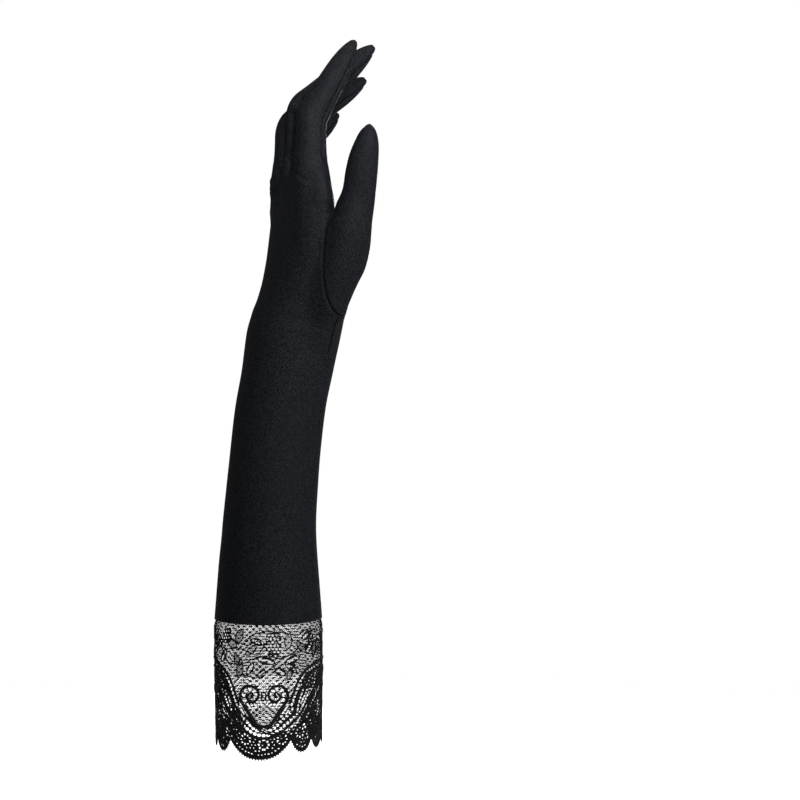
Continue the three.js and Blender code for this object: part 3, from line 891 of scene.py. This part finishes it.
# Rows of eyelets: points along the row, count, half length and half width of a hole
EYELET_ROWS = (
    (((1.3, 17.8), (3.9, 18.1), (6.9, 19.9), (9.4, 22.6), (12.2, 24.9), (15.2, 27.2), (17.6, 29.8)),
     9, 1.15, 1.02),
    (((0, 15.2), (4, 15.6), (8, 17.5), (11.8, 20.2), (15.8, 23.0), (20.6, 27.0)), 10, 1.15, 1.02),
    (((16.9, 32.5), (18.6, 36.6), (21.0, 42.6), (22.6, 46.0), (25.0, 48.6), (28.5, 51.5), (36, 53.2),
      (50.8, 54.6), (56.5, 51.5), (61, 45), (66.5, 35.5), (72.5, 24.5), (77.5, 15)), 40, 1.05, 0.8),
    (((21.0, 29.5), (22.0, 34), (24.5, 40)), 6, 1.0, 0.68),
    (((24.4, 26.5), (28.5, 32), (33.5, 37.5), (38.5, 41)), 9, 1.0, 0.6),
    (((27.6, 23.5), (33, 29.5), (40, 34.5), (50.8, 37.5), (58, 35), (65, 29)), 19, 1.0, 0.6),
    (((31, 21.0), (37, 26.0), (44, 30.5)), 7, 1.0, 0.6),
)
# Rings of small holes: girth, height, radius, count
FLOWERS = (
    (11.0, 12.6, 2.9, 9), (0, 9.8, 2.9, 9), (22.9, 15.4, 2.8, 8), (29.6, 46, 3.4, 9), (31.0, 13.5, 2.8, 8),
    (41, 46, 3.4, 9), (45.5, 17.5, 3.0, 8), (52, 45, 3.2, 8), (37.8, 12.5, 2.6, 7), (53, 12.0, 2.8, 8),
    (62, 14.0, 3.0, 8), (71, 13.0, 3.0, 8), (60, 27, 3.0, 8),
)
# Leaves in the net: girth, height, turn in degrees, length, breadth, holes along it
LEAVES = (
    (1.5, 59.2, -18, 11.5, 4.4, 5), (17.2, 59.0, 18, 11.5, 4.4, 5), (14.6, 70.0, 78, 10, 4.6, 0),
    (-7.6, 65.0, 35, 9, 3.8, 0), (-15.0, 73.2, 60, 10, 5.0, 0), (-20.5, 68.5, -30, 9, 4.4, 0),
    (-14.6, 53.8, 78, 12, 4.4, 0), (-8.0, 54.2, 60, 9, 3.4, 4), (-1.0, 51.5, 30, 6, 4.2, 3),
    (9.8, 52.2, -35, 8, 4.0, 3), (15.5, 50.8, 65, 7.5, 3.2, 0), (23.5, 66.0, -50, 10, 4.4, 0),
    (27.5, 72.5, 20, 9, 4.2, 4), (34.5, 64.0, 70, 11, 4.4, 0), (41.0, 69.5, -25, 10, 4.6, 5),
    (46.5, 62.0, 40, 9, 4.2, 0), (-27.5, 60.5, 55, 10, 4.2, 4), (-34.0, 68.5, -40, 11, 4.6, 0),
    (-41.5, 63.5, 25, 10, 4.4, 5), (-47.0, 72.0, 70, 9, 4.2, 0), (60.0, 66.0, 35, 9, 3.8, 0),
    (-62.0, 62.0, -35, 9, 3.8, 4), (76.0, 58.0, -60, 10, 4.0, 4), (-78.0, 50.0, 70, 9, 3.8, 0),
    (90.0, 44.0, 30, 10, 4.2, 5), (-92.0, 60.0, 15, 10, 4.2, 4), (99.0, 66.0, 75, 9, 3.8, 0),
)
LEAF_SLANT = 0.35
# Stems that wind between the leaves: points of girth and height
STEMS = (
    ((-30, 66), (-24, 57), (-14, 56), (-6, 60.5), (2, 62.5), (10, 60), (17, 62.5), (24, 68.5)),
    ((-12, 70), (-6, 75), (2, 76.5), (12, 75.5), (20, 73), (28, 76.5), (38, 74)),
    ((-19, 49), (-12, 50.5), (-4, 49), (2, 53.5), (9, 55), (15, 52), (20, 56)),
    ((-27, 76), (-19, 70.5), (-10, 68), (-3, 71), (1.5, 66.5)),
    ((28, 62), (34, 60), (40, 64), (46, 70), (54, 73)),
    ((-52, 63), (-44, 58), (-37, 61), (-30, 71), (-36, 76)),
    ((56, 61), (66, 68), (74, 63), (84, 54), (96, 50), (106, 55)),
    ((-58, 70), (-68, 58), (-80, 57), (-92, 51), (-98, 60)),
)
# Blocks of holes at the heart of a flower: girth, height, columns, rows
BLOCKS = (
    (5.8, 69.0, 4, 6), (31.0, 70.5, 2, 4), (-24.5, 73.0, 3, 3), (66.0, 60.0, 3, 4), (-70.0, 66.0, 3, 4),
)
BLOCK_STEP = 2.1

# Holes beside the eyelet rows: half length and half width. Then the steps between the edge's holes
# and their rise above it, and the size, steps and clearance of the holes that fill the ground
SCROLL_HOLE = (1.45, 1.28)
FLOWER_HOLE = (0.55, 0.36)
EDGE_HOLE = (0.44, 0.26)
EDGE_HOLE_STEP = 2.0
EDGE_HOLE_RISE = 2.7
LOW_HOLE, HIGH_HOLE = 0.3, 0.96
LOW_HOLES_TOP = 16
FILLER_STEP = 2.2
FILLER_ROWS = 1.7
FILLER_CLEARANCE = 1.85

# Thin cords: around an eyelet and how far outside its hole, and elsewhere. Then the rings of a
# flower as shares of its radius, with the count of their steps
EYELET_CORD, EYELET_RIM = 0.3, 0.14
THIN_CORD = 0.5
FLOWER_RINGS = ((0.5, 12), (1.36, 18))

# Edge: step of its two running cords with lift, width and rise of each, and size of a picot
EDGE_STEP = 0.9
EDGE_CORDS = ((0.1, 1.2, 0.35), (0.05, 0.7, 1.75))
PICOT_WIDTH, PICOT_THICKNESS = 0.95, 0.5

# Net: how far a thread leans for each millimetre of height, steps between its level threads and
# between its rows of dots, dots in a row, size of a dot, and where the plain panel begins
NET_LEAN = 0.75
LEVEL_STEP = 0.9
DOT_ROWS = 1.75
DOTS_AROUND = 50
DOT_WIDTH, DOT_THICKNESS = 0.88, 0.4
PLAIN_PANEL = 60


def around(girth):
    """Girth from the middle of the motif, up to half way round on both sides."""
    return (girth + REPEAT) % (2 * REPEAT) - REPEAT


def edge_height(girth):
    """Height of the scalloped edge."""
    place = (girth - EDGE_START) % REPEAT
    height = np.zeros_like(place)
    start = 0.0
    for width, bottom in SCALLOPS:
        share = np.abs(2 * (place - start) / width - 1)
        here = (place >= start) & (place <= start + width + 0.2)
        height = np.where(here, bottom + (NOTCH - bottom) * share**2.4, height)
        start += width
    return height


def wrapped(points):
    """Points of girth, height and lift, wrapped around the cuff."""
    girth, height, lift = np.asarray(points, float).T
    angle = -np.pi / 2 + girth * np.pi / REPEAT
    radius = np.interp(height, LACE_RADIUS[:, 0], LACE_RADIUS[:, 1]) - LACE_INSET + lift
    soft = np.clip(1 - height / LACE_WAVES_END, 0, 1)
    radius = radius + soft * sum(depth * np.sin(count * angle + start) for depth, count, start in LACE_WAVES)
    narrow = (HEM_SIZE[1] - HEM_SIZE[0]) / 2
    return np.stack([radius * np.cos(angle), (radius + narrow) * np.sin(angle), height], 1)


def placed(x, z, turn, u, v):
    """Points of a turned form, from its middle, its turn and places along and across it."""
    c, s = math.cos(turn), math.sin(turn)
    return np.stack([x + c * u - s * v, z + s * u + c * v], 1)


def level_path(girth, z):
    """A path around the cuff at one height."""
    return np.stack([girth, np.full(len(girth), z)], 1)


class Thread:
    """Gathers threads as flattened tubes and turns them into one mesh object."""

    def __init__(self):
        self.points, self.faces, self.count = [], [], 0

    def add(self, path, width, thick=None, sides=4, lift=0.0, closed=False, taper=1.0):
        """Lays one thread along a path of girth and height."""
        path = np.asarray(path, float)
        thick = width if thick is None else thick
        ahead = np.roll(path, -1, 0) - np.roll(path, 1, 0) if closed else np.gradient(path, axis=0)
        ahead /= np.maximum(np.hypot(*ahead.T), 1e-9)[:, None]
        angle = np.linspace(0, 2 * np.pi, sides, endpoint=False) + np.pi / sides
        size = np.ones(len(path))
        if not closed:
            size[0] = size[-1] = taper
        full = 2 / (np.cos(angle).max() - np.cos(angle).min())
        across = np.cos(angle)[None] * (width / 2 * size)[:, None] * full
        rise = np.sin(angle)[None] * (thick / 2 * size)[:, None] * full + lift
        rings = np.stack([path[:, :1] - ahead[:, 1:] * across, path[:, 1:] + ahead[:, :1] * across, rise], 2)
        self.points.append(wrapped(rings.reshape(-1, 3)))
        n, base = len(path), self.count
        i = np.arange(n if closed else n - 1)[:, None]
        j = np.arange(sides)[None]
        k = (j + 1) % sides
        low, high = base + i * sides, base + (i + 1) % n * sides
        self.faces += np.stack([low + k, low + j, high + j, high + k], 2).reshape(-1, 4).tolist()
        if not closed:
            self.faces.append([base + q for q in range(sides)])
            self.faces.append([base + (n - 1) * sides + q for q in reversed(range(sides))])
        self.count += n * sides

    def ring(self, x, z, half_long, half_wide, turn, width, steps=10, lift=0.0):
        """Lays a closed oval of thread around a place."""
        angle = np.linspace(0, 2 * np.pi, steps, endpoint=False)
        path = placed(x, z, turn, half_long * np.cos(angle), half_wide * np.sin(angle))
        self.add(path, width, width * 0.9, 4, lift, closed=True)

    def object(self, name):
        """One object of all threads laid so far."""
        return mesh_object(name, np.concatenate(self.points), self.faces)


def lengths_along(points):
    """Length from the start of a path to each of its points."""
    return np.concatenate([[0], np.cumsum(np.hypot(*np.diff(points, axis=0).T))])


def spaced(points, count):
    """Even places along a smooth curve through a few points, and the way it runs there."""
    points = np.asarray(points, float)
    length = lengths_along(points)
    fine = np.linspace(0, length[-1], 300)
    line = np.stack([np.interp(fine, length, points[:, 0]), np.interp(fine, length, points[:, 1])], 1)
    kernel = np.ones(25) / 25
    padded = np.concatenate([2 * line[0] - line[12:0:-1], line, 2 * line[-1] - line[-2:-14:-1]])
    line = np.stack([np.convolve(padded[:, i], kernel, "valid") for i in (0, 1)], 1)
    at = np.linspace(0, 299, count).round().astype(int)
    way = np.gradient(line, axis=0)[at]
    return line[at], np.arctan2(way[:, 1], way[:, 0])


def both_sides(items):
    """Each item and its mirror image, once where it lies on the middle."""
    out = []
    for item in items:
        out.append(item)
        if item[0] > 0.3:
            out.append((-item[0], item[1], *item[2:]))
    return out


def scroll_path(inset, turns, count, end=2.2):
    """A spiral of one scroll, from its foot up, over and inwards."""
    share = np.linspace(0, 1, count)
    radius = (SCROLL_RADIUS - inset) * (1 - share) + end * share
    angle = np.radians(SCROLL_FOOT) + share * turns * 2 * np.pi
    return placed(*SCROLL_MIDDLE, 0, radius * np.cos(angle), radius * np.sin(angle))


# Cords of the motif: points along it, count of steps and width beside the set width of a cord
CORD_LINES = (
    (MEDALLION, 26, 2.1),
    (BORDER_TOP[2:-2], 120, 1.3),
    (scroll_path(0, 1.32, 60, 1.2), 60, 1.35),
    (((11.6, 32.2), (13.4, 34.6), (14.0, 37.0)), 10, 1.3),
    (((0, 13.2), (5, 13.7), (10, 16.2), (14, 19.2), (19.5, 23.2), (24, 27.5), (27, 32), (33, 39), (38, 43.5)),
     70, 1.2),
    (((18.4, 29.4), (19.6, 34), (22.4, 40.5), (25.4, 45.5), (33, 50.6), (50.8, 52), (55, 48), (60, 40.5),
      (65, 31), (70, 21.5), (74.5, 13.5)), 110, 0.9),
    (((22, 22.5), (29, 27.0), (37, 33.5), (50.8, 40), (58, 38), (66, 30)), 70, 1.1),
    (((1.2, 36.0), (1.2, 40.4)), 4, 0.9),
)


def lace_holes():
    """All holes of one repeat: girth, height, half length, half width, turn, ringed or not."""
    holes = []
    for points, count, long, wide in EYELET_ROWS:
        places, turns = spaced(points, count)
        holes += [(x, z, long, wide, turn, 1) for (x, z), turn in zip(places, turns)]
    for x, z in scroll_path(2.8, 1.2, 12, 1.5):
        holes.append((x, z, *SCROLL_HOLE, 0.0, 1))
    for x, z, radius, count in FLOWERS:
        for k in range(count):
            angle = 2 * np.pi * k / count
            place = (x + radius * math.cos(angle), z + radius * math.sin(angle))
            holes.append((*place, *FLOWER_HOLE, angle, 0))
    holes = [(x, z, a, b, turn, ring) for x, z, a, b, turn, ring in holes if x > -0.6]
    mirrored = [(-x, z, a, b, math.pi - turn, ring) for x, z, a, b, turn, ring in holes if x > 0.5]
    holes = holes + mirrored
    along = np.arange(-REPEAT + 0.5, REPEAT, EDGE_HOLE_STEP)
    small = [(x, z + EDGE_HOLE_RISE, *EDGE_HOLE, 0.0, 0) for x, z in zip(along, edge_height(along))]
    taken = np.array([(x, z) for x, z, *_ in holes + small])
    for row, z in enumerate(np.arange(6.0, 57, FILLER_ROWS)):
        for x in np.arange(-REPEAT + (row % 2) * FILLER_STEP / 2, REPEAT, FILLER_STEP):
            if np.hypot(*(taken - (x, z)).T).min() > FILLER_CLEARANCE:
                size = LOW_HOLE if z < LOW_HOLES_TOP else HIGH_HOLE
                small.append((x, z, size, size * 0.68, 0.7 if x > 0 else -0.7, 0))
    return holes, small


def leaf_gap(girth, height, leaf):
    """Distance across a leaf from its outline, negative inside."""
    x, z, turn, length, breadth, _ = leaf
    c, s = turned(turn)
    dx, dz = around(girth - x), height - z
    u, v = c * dx + s * dz, c * dz - s * dx
    return np.abs(v) - breadth / 2 * (1 - (2 * u / length) ** 2)


def clear_of_forms(girth, height, leaf_room, block_share, block_room):
    """Whether places lie clear of the leaves and of the blocks of holes."""
    clear = np.ones(len(girth), bool)
    for leaf in LEAVES:
        clear &= leaf_gap(girth, height, leaf) > leaf_room
    for x, z, columns, rows in BLOCKS:
        beside = np.abs(around(girth - x)) > columns * block_share + block_room[0]
        clear &= beside | (np.abs(height - z) > rows * block_share + block_room[1])
    return clear


def in_holes(girth, height, holes):
    """Inside any of the holes, looked up among the places sorted by girth."""
    inside = np.zeros(len(girth), bool)
    x = around(girth)
    order = np.argsort(x)
    sorted_x = x[order]
    for hx, hz, long, wide, turn, _ in holes:
        low, high = np.searchsorted(sorted_x, (hx - 1.6, hx + 1.6))
        at = order[low:high]
        c, s = math.cos(turn), math.sin(turn)
        dx, dz = x[at] - hx, height[at] - hz
        inside[at] |= ((c * dx + s * dz) / long) ** 2 + ((c * dz - s * dx) / wide) ** 2 < 1
    return inside


def lace_zones(girth, height):
    """Whether each place lies inside the edge, on dense ground and in the medallion."""
    side = np.abs(around(girth))
    inside_edge = height > edge_height(girth) + 0.5
    border = inside_edge & (height < np.interp(side, BORDER_TOP[:, 0], BORDER_TOP[:, 1]))
    scroll = np.hypot(side - SCROLL_MIDDLE[0], height - SCROLL_MIDDLE[1]) < SCROLL_RADIUS
    wall = np.interp(height, MEDALLION[:, 1], MEDALLION[:, 0])
    medallion = (height > MEDALLION[0, 1]) & (height < MEDALLION_TOP) & (side < wall) & ~scroll
    link = (side < LINK_WIDTH) & (height > MEDALLION_TOP) & (height < LINK_TOP)
    return inside_edge, (border & ~medallion) | scroll | link, medallion


def masked_runs(thread, path, keep, width, sides, lift=0.0, step=4.0, thick=None):
    """Lays a thread along the parts of a path that are kept."""
    keep = np.concatenate([[False], keep, [False]])
    change = np.flatnonzero(keep[1:] != keep[:-1])
    for a, b in zip(change[::2], change[1::2]):
        if b - a < 3:
            continue
        part = path[a:b]
        length = np.hypot(*(part[-1] - part[0]))
        pick = np.linspace(0, len(part) - 1, max(2, int(length / step) + 2)).round().astype(int)
        thread.add(part[pick], width, thick, sides, lift)


def thread_material():
    """Dull black thread with the twist of its strands."""
    material, tree, shader = new_material("lace_thread")
    place = {"Vector": add_node(tree, "TexCoord", "Object")}
    twist = add_node(tree, "TexNoise", "Fac", {"Scale": 2600, "Detail": 2}, place)
    colours = ramp_colours(tree, twist, (0.35, (0.0016, 0.0017, 0.002)), (0.7, (0.0060, 0.0064, 0.0074)))
    bump = add_node(tree, "Bump", "Normal", {"Strength": 0.4, "Distance": 0.0002}, {"Height": twist})
    values = {"Roughness": 0.75, "Specular IOR Level": 0.05}
    set_up(tree, shader, values, {"Base Color": colours, "Normal": bump})
    return material


def lace_black():
    """The thread's material, made once for all pieces of the lace."""
    return bpy.data.materials.get("lace_thread") or thread_material()


class GLOVE_OT_net(bpy.types.Operator):
    """Build the fine net of the lace and its dots"""

    bl_idname = "glove.net"
    bl_label = "Lace Net"

    def execute(self, context):
        sizes = context.scene.glove_lace
        pitch, width = sizes.net_pitch / MM, sizes.net_thread / MM
        net = Thread()
        round_cuff = LACE_REPEATS * REPEAT
        count = round(round_cuff / pitch)
        height = np.arange(8, 86, 0.25)
        for way in (1, -1):
            for k in range(count):
                girth = k * round_cuff / count + way * NET_LEAN * height
                inside, dense_ground, _ = lace_zones(girth, height)
                keep = inside & ~dense_ground & clear_of_forms(girth, height, 0, 1.2, (0, 0))
                masked_runs(net, np.stack([girth, height], 1), keep, width, 3, lift=0.04 * way)
        girth = np.arange(-14, 2 * REPEAT - 75, 0.2)
        for z in np.arange(3, 50, LEVEL_STEP):
            inside, dense_ground, medallion = lace_zones(girth, z)
            keep = medallion | (inside & ~dense_ground & (girth > PLAIN_PANEL))
            wide = width * (1.4 if z < MEDALLION_TOP else 0.9)
            masked_runs(net, level_path(girth, z), keep, wide, 3)
        for row, z in enumerate(np.arange(5.5, 80, DOT_ROWS)):
            x = np.linspace(-REPEAT, REPEAT, DOTS_AROUND, endpoint=False) + (row % 2) * REPEAT / DOTS_AROUND
            inside, dense_ground, _ = lace_zones(x, z)
            free = inside & ~dense_ground & clear_of_forms(x, z, 0.6, 1.05, (1.2, 1))
            for girth in x[free]:
                path = [(girth + shift, z) for shift in (-1.0, 0.0, 1.0)]
                net.add(path, DOT_WIDTH, DOT_THICKNESS, 5, taper=0.65)
        finish_piece(net.object("lace_net"), lace_black(), "lace")
        return {"FINISHED"}


class GLOVE_OT_ground(bpy.types.Operator):
    """Build the stitched ground of the border, the scrolls and the leaves"""

    bl_idname = "glove.ground"
    bl_label = "Lace Ground"

    def execute(self, context):
        pitch = context.scene.glove_lace.fill_pitch / MM
        large, small = lace_holes()
        ground = Thread()
        girth = np.arange(-REPEAT, REPEAT, 0.2)
        for z in np.arange(0.8, 58, pitch):
            height = np.full(len(girth), z)
            inside, dense_ground, _ = lace_zones(girth, height)
            keep = dense_ground & inside & ~in_holes(girth, height, large + small)
            masked_runs(ground, level_path(girth, z), keep, pitch * 1.05, 4, step=3.0, thick=0.3)
        for leaf in LEAVES:
            self.fill_leaf(ground, leaf, pitch)
        for x, z, columns, rows in BLOCKS:
            self.block(ground, x, z, columns, rows, pitch)
        finish_piece(ground.object("lace_ground"), lace_black(), "lace", "lace_cuff")
        return {"FINISHED"}

    def fill_leaf(self, ground, leaf, pitch):
        """Slanting stitches across one leaf, with its holes left open."""
        x, z, turn, length, breadth, holes = leaf
        for u in np.arange(-length / 2 + 0.5, length / 2 - 0.3, pitch):
            half = breadth / 2 * (1 - (2 * u / length) ** 2)
            v = np.arange(-half, half, 0.15)
            if len(v) < 4:
                continue
            keep = np.ones(len(v), bool)
            for middle in (np.arange(holes) - (holes - 1) / 2) * length / (holes + 1.5):
                keep &= ((u - middle) / 0.85) ** 2 + (v / 0.95) ** 2 > 1
            path = placed(x, z, math.radians(turn), u + v * LEAF_SLANT, v)
            masked_runs(ground, path, keep, pitch * (0.95 if holes else 0.42), 4, step=3.0, thick=0.28)

    def block(self, ground, x, z, columns, rows, pitch):
        """A stitched patch with staggered rows of round holes."""
        wide, tall = columns * BLOCK_STEP / 2 + 0.6, rows * BLOCK_STEP / 2 + 0.6
        girth = np.arange(-wide, wide, 0.15)
        for height in np.arange(-tall, tall, pitch):
            keep = (np.abs(girth) / wide) ** 4 + (abs(height) / tall) ** 4 < 1
            for row in range(rows):
                for column in range(columns):
                    u = (column - (columns - 1) / 2) * BLOCK_STEP + (row % 2 - 0.5) * BLOCK_STEP / 2
                    v = (row - (rows - 1) / 2) * BLOCK_STEP * 0.95
                    keep &= np.hypot(girth - u, height - v) > 0.72
            path = level_path(x + girth, z + height)
            masked_runs(ground, path, keep, pitch * 1.05, 4, step=3.0, thick=0.3)


class GLOVE_OT_cords(bpy.types.Operator):
    """Build the cords, the rings of the eyelets and the scalloped edge"""

    bl_idname = "glove.cords"
    bl_label = "Lace Cords and Edge"

    def execute(self, context):
        sizes = context.scene.glove_lace
        cords = Thread()
        self.motif_cords(cords, sizes.cord / MM)
        self.rings(cords)
        for leaf in LEAVES:
            self.leaf_outline(cords, leaf, sizes.cord / MM)
        finish_piece(cords.object("lace_cords"), lace_black(), "lace")
        edge = Thread()
        count = round(LACE_REPEATS * REPEAT / EDGE_STEP)
        girth = np.linspace(0, LACE_REPEATS * REPEAT, count, endpoint=False)
        for lift, width, rise in EDGE_CORDS:
            path = np.stack([girth, edge_height(girth) + rise], 1)
            edge.add(path, width, 0.8, 6, lift, closed=True)
        self.picots(edge, sizes.picot / MM)
        finish_piece(edge.object("lace_edge"), lace_black(), "lace")
        return {"FINISHED"}

    def motif_cords(self, cords, cord):
        """The outlining cords on both sides of the motif, its stems and its short bars."""
        for mirror in (1, -1):
            for points, count, share in CORD_LINES:
                path = spaced(points, count)[0] * (mirror, 1)
                cords.add(path, cord * share, cord * 0.8, 6, lift=0.12, taper=0.6)
        for points in STEMS:
            cords.add(spaced(points, 44)[0], cord * 0.62, cord * 0.6, 5, lift=0.1, taper=0.6)
        for z in LINK_BARS:
            cords.add([(-LINK_BAR_REACH, z), (LINK_BAR_REACH, z)], THIN_CORD, THIN_CORD, 4)

    def rings(self, cords):
        """The rings around the eyelets and in the flowers, with the flowers' hearts."""
        for x, z, long, wide, turn, ringed in lace_holes()[0]:
            if ringed:
                cords.ring(x, z, long + EYELET_RIM, wide + EYELET_RIM, turn, EYELET_CORD, lift=0.08)
        for x, z, radius, _ in both_sides(FLOWERS):
            for share, steps in FLOWER_RINGS:
                cords.ring(x, z, radius * share, radius * share, 0, THIN_CORD, steps, 0.12)
            cords.add([(x - 0.5, z), (x + 0.5, z)], 1.1, 0.6, 6, 0.1, taper=0.7)

    def leaf_outline(self, cords, leaf, cord):
        """The cord around one leaf."""
        x, z, turn, length, breadth, _ = leaf
        u = np.linspace(-length / 2, length / 2, 9)
        v = breadth / 2 * (1 - (2 * u / length) ** 2)
        u, v = np.concatenate([u, u[-2:0:-1]]), np.concatenate([v, -v[-2:0:-1]])
        path = placed(x, z, math.radians(turn), u + v * LEAF_SLANT, v)
        cords.add(path, cord * 0.5, cord * 0.5, 4, 0.08, closed=True)

    def picots(self, edge, pitch):
        """Small points of thread that stand out all along the edge."""
        girth = np.linspace(0, LACE_REPEATS * REPEAT, 6000)
        line = np.stack([girth, edge_height(girth)], 1)
        length = lengths_along(line)
        for at in np.arange(0, length[-1], pitch):
            start, ahead = (np.array([np.interp(q, length, side) for side in line.T]) for q in (at, at + 0.4))
            way = (ahead - start) / max(math.hypot(*(ahead - start)), 1e-6)
            root, out = start + way * 0.1, clockwise(way)
            path = [root + out * share for share in (-0.2, 0.45, 1.0)]
            edge.add(path, PICOT_WIDTH, PICOT_THICKNESS, 5, taper=0.55)


# Stage: the floor in millimetres, and the camera and the places where lights aim in metres
FLOOR_RADIUS = 1100
FLOOR_SIDES = 96
FLOOR_COLOUR = (0.84, 0.84, 0.84, 1)
WHITE = (1, 1, 1, 1)
CAMERA_PLACE = (0.08015, -0.9, 0.2125)
CAMERA_LENS = 66.46
SENSOR_WIDTH = 36
MIDDLE = (0.02, 0, 0.24)
HAND = (0.04, 0, 0.48)

# Lights: name, the look that sets its power, place, size, spread in degrees, and aim
LIGHTS = (
    ("key", "key_power", (0.85, -0.68, 0.75), 0.5, 180, MIDDLE),
    ("back", "back_power", (0.12, 1.25, 0.6), 0.5, 180, MIDDLE),
    ("fill", "fill_power", (0.15, -0.75, 0.70), 0.3, 60, HAND),
    ("rim_left", "rim_power", (-0.8, 0.5, 0.3), 0.2, 180, MIDDLE),
    ("rim_right", "rim_power", (0.8, 0.6, 0.3), 0.3, 180, MIDDLE),
    ("top", "top_power", (0.0, 0.2, 1.9), 1.6, 180, MIDDLE),
)


class GLOVE_OT_stage(bpy.types.Operator):
    """Set the floor, the soft light and the camera"""

    bl_idname = "glove.stage"
    bl_label = "Floor, Light and Camera"

    def execute(self, context):
        look = context.scene.glove_stage
        self.floor(look.floor_height)
        self.world(context.scene, look.room_light)
        context.scene.view_settings.view_transform = "Standard"
        for name, power, place, size, spread, aim in LIGHTS:
            lamp = bpy.data.lights.new(name, "AREA")
            lamp.energy = getattr(look, power)
            lamp.size = size
            lamp.spread = math.radians(spread)
            obj = bpy.data.objects.new(name, lamp)
            obj.location = place
            obj.rotation_euler = (Vector(aim) - Vector(place)).to_track_quat("-Z", "Y").to_euler()
            context.scene.collection.objects.link(obj)
        lens = bpy.data.cameras.new("camera")
        lens.sensor_width = SENSOR_WIDTH
        lens.lens = CAMERA_LENS
        camera = bpy.data.objects.new("camera", lens)
        camera.location = CAMERA_PLACE
        camera.rotation_euler = (math.radians(90), 0, 0)
        context.scene.collection.objects.link(camera)
        context.scene.camera = camera
        return {"FINISHED"}

    def floor(self, height):
        """A wide round floor, nearly white."""
        angle = np.linspace(0, 2 * np.pi, FLOOR_SIDES, endpoint=False)
        rim = np.stack([FLOOR_RADIUS * np.cos(angle), FLOOR_RADIUS * np.sin(angle), 0 * angle], 1)
        floor = mesh_object("floor", rim, [range(FLOOR_SIDES)])
        floor.location.z = height
        material, tree, shader = new_material("floor_white")
        set_up(tree, shader, {"Base Color": FLOOR_COLOUR, "Roughness": 0.9}, {})
        floor.data.materials.append(material)

    def world(self, scene, strength):
        """White for the camera, and a weaker even light for the glove."""
        scene.world = bpy.data.worlds.new("studio")
        scene.world.use_nodes = True
        tree = scene.world.node_tree
        room = tree.nodes["Background"]
        set_up(tree, room, {"Color": WHITE, "Strength": strength}, {})
        sky = add_node(tree, "Background", 0, {"Color": WHITE})
        seen = add_node(tree, "LightPath", "Is Camera Ray")
        mixed = add_node(tree, "MixShader", 0, links={"Fac": seen, 1: room.outputs[0], 2: sky})
        set_up(tree, tree.nodes["World Output"], {}, {"Surface": mixed})


class GLOVE_PT_panel(bpy.types.Panel):
    """Sizes, looks and steps of the glove"""

    bl_label = "Long Satin Glove"
    bl_idname = "GLOVE_PT_panel"
    bl_space_type = "VIEW_3D"
    bl_region_type = "UI"
    bl_category = "Glove"

    def draw(self, context):
        scene = context.scene
        for group in (scene.glove_sizes, scene.glove_lace, scene.glove_satin, scene.glove_stage):
            box = self.layout.box()
            for name in group.__annotations__:
                box.prop(group, name)
        for step in STEPS:
            self.layout.operator(step.bl_idname)


STEPS = (GLOVE_OT_satin, GLOVE_OT_net, GLOVE_OT_ground, GLOVE_OT_cords, GLOVE_OT_stage)
CLASSES = (GloveSizes, LaceSizes, SatinLook, StageLook, *STEPS, GLOVE_PT_panel)


def register():
    for each in CLASSES:
        bpy.utils.register_class(each)
    bpy.types.Scene.glove_sizes = bpy.props.PointerProperty(type=GloveSizes)
    bpy.types.Scene.glove_lace = bpy.props.PointerProperty(type=LaceSizes)
    bpy.types.Scene.glove_satin = bpy.props.PointerProperty(type=SatinLook)
    bpy.types.Scene.glove_stage = bpy.props.PointerProperty(type=StageLook)


def unregister():
    for name in ("glove_sizes", "glove_lace", "glove_satin", "glove_stage"):
        delattr(bpy.types.Scene, name)
    for each in reversed(CLASSES):
        bpy.utils.unregister_class(each)


def main():
    """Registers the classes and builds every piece."""
    register()
    bpy.ops.glove.satin()
    bpy.ops.glove.net()
    bpy.ops.glove.ground()
    bpy.ops.glove.cords()
    bpy.ops.glove.stage()


if __name__ == "__main__":
    main()
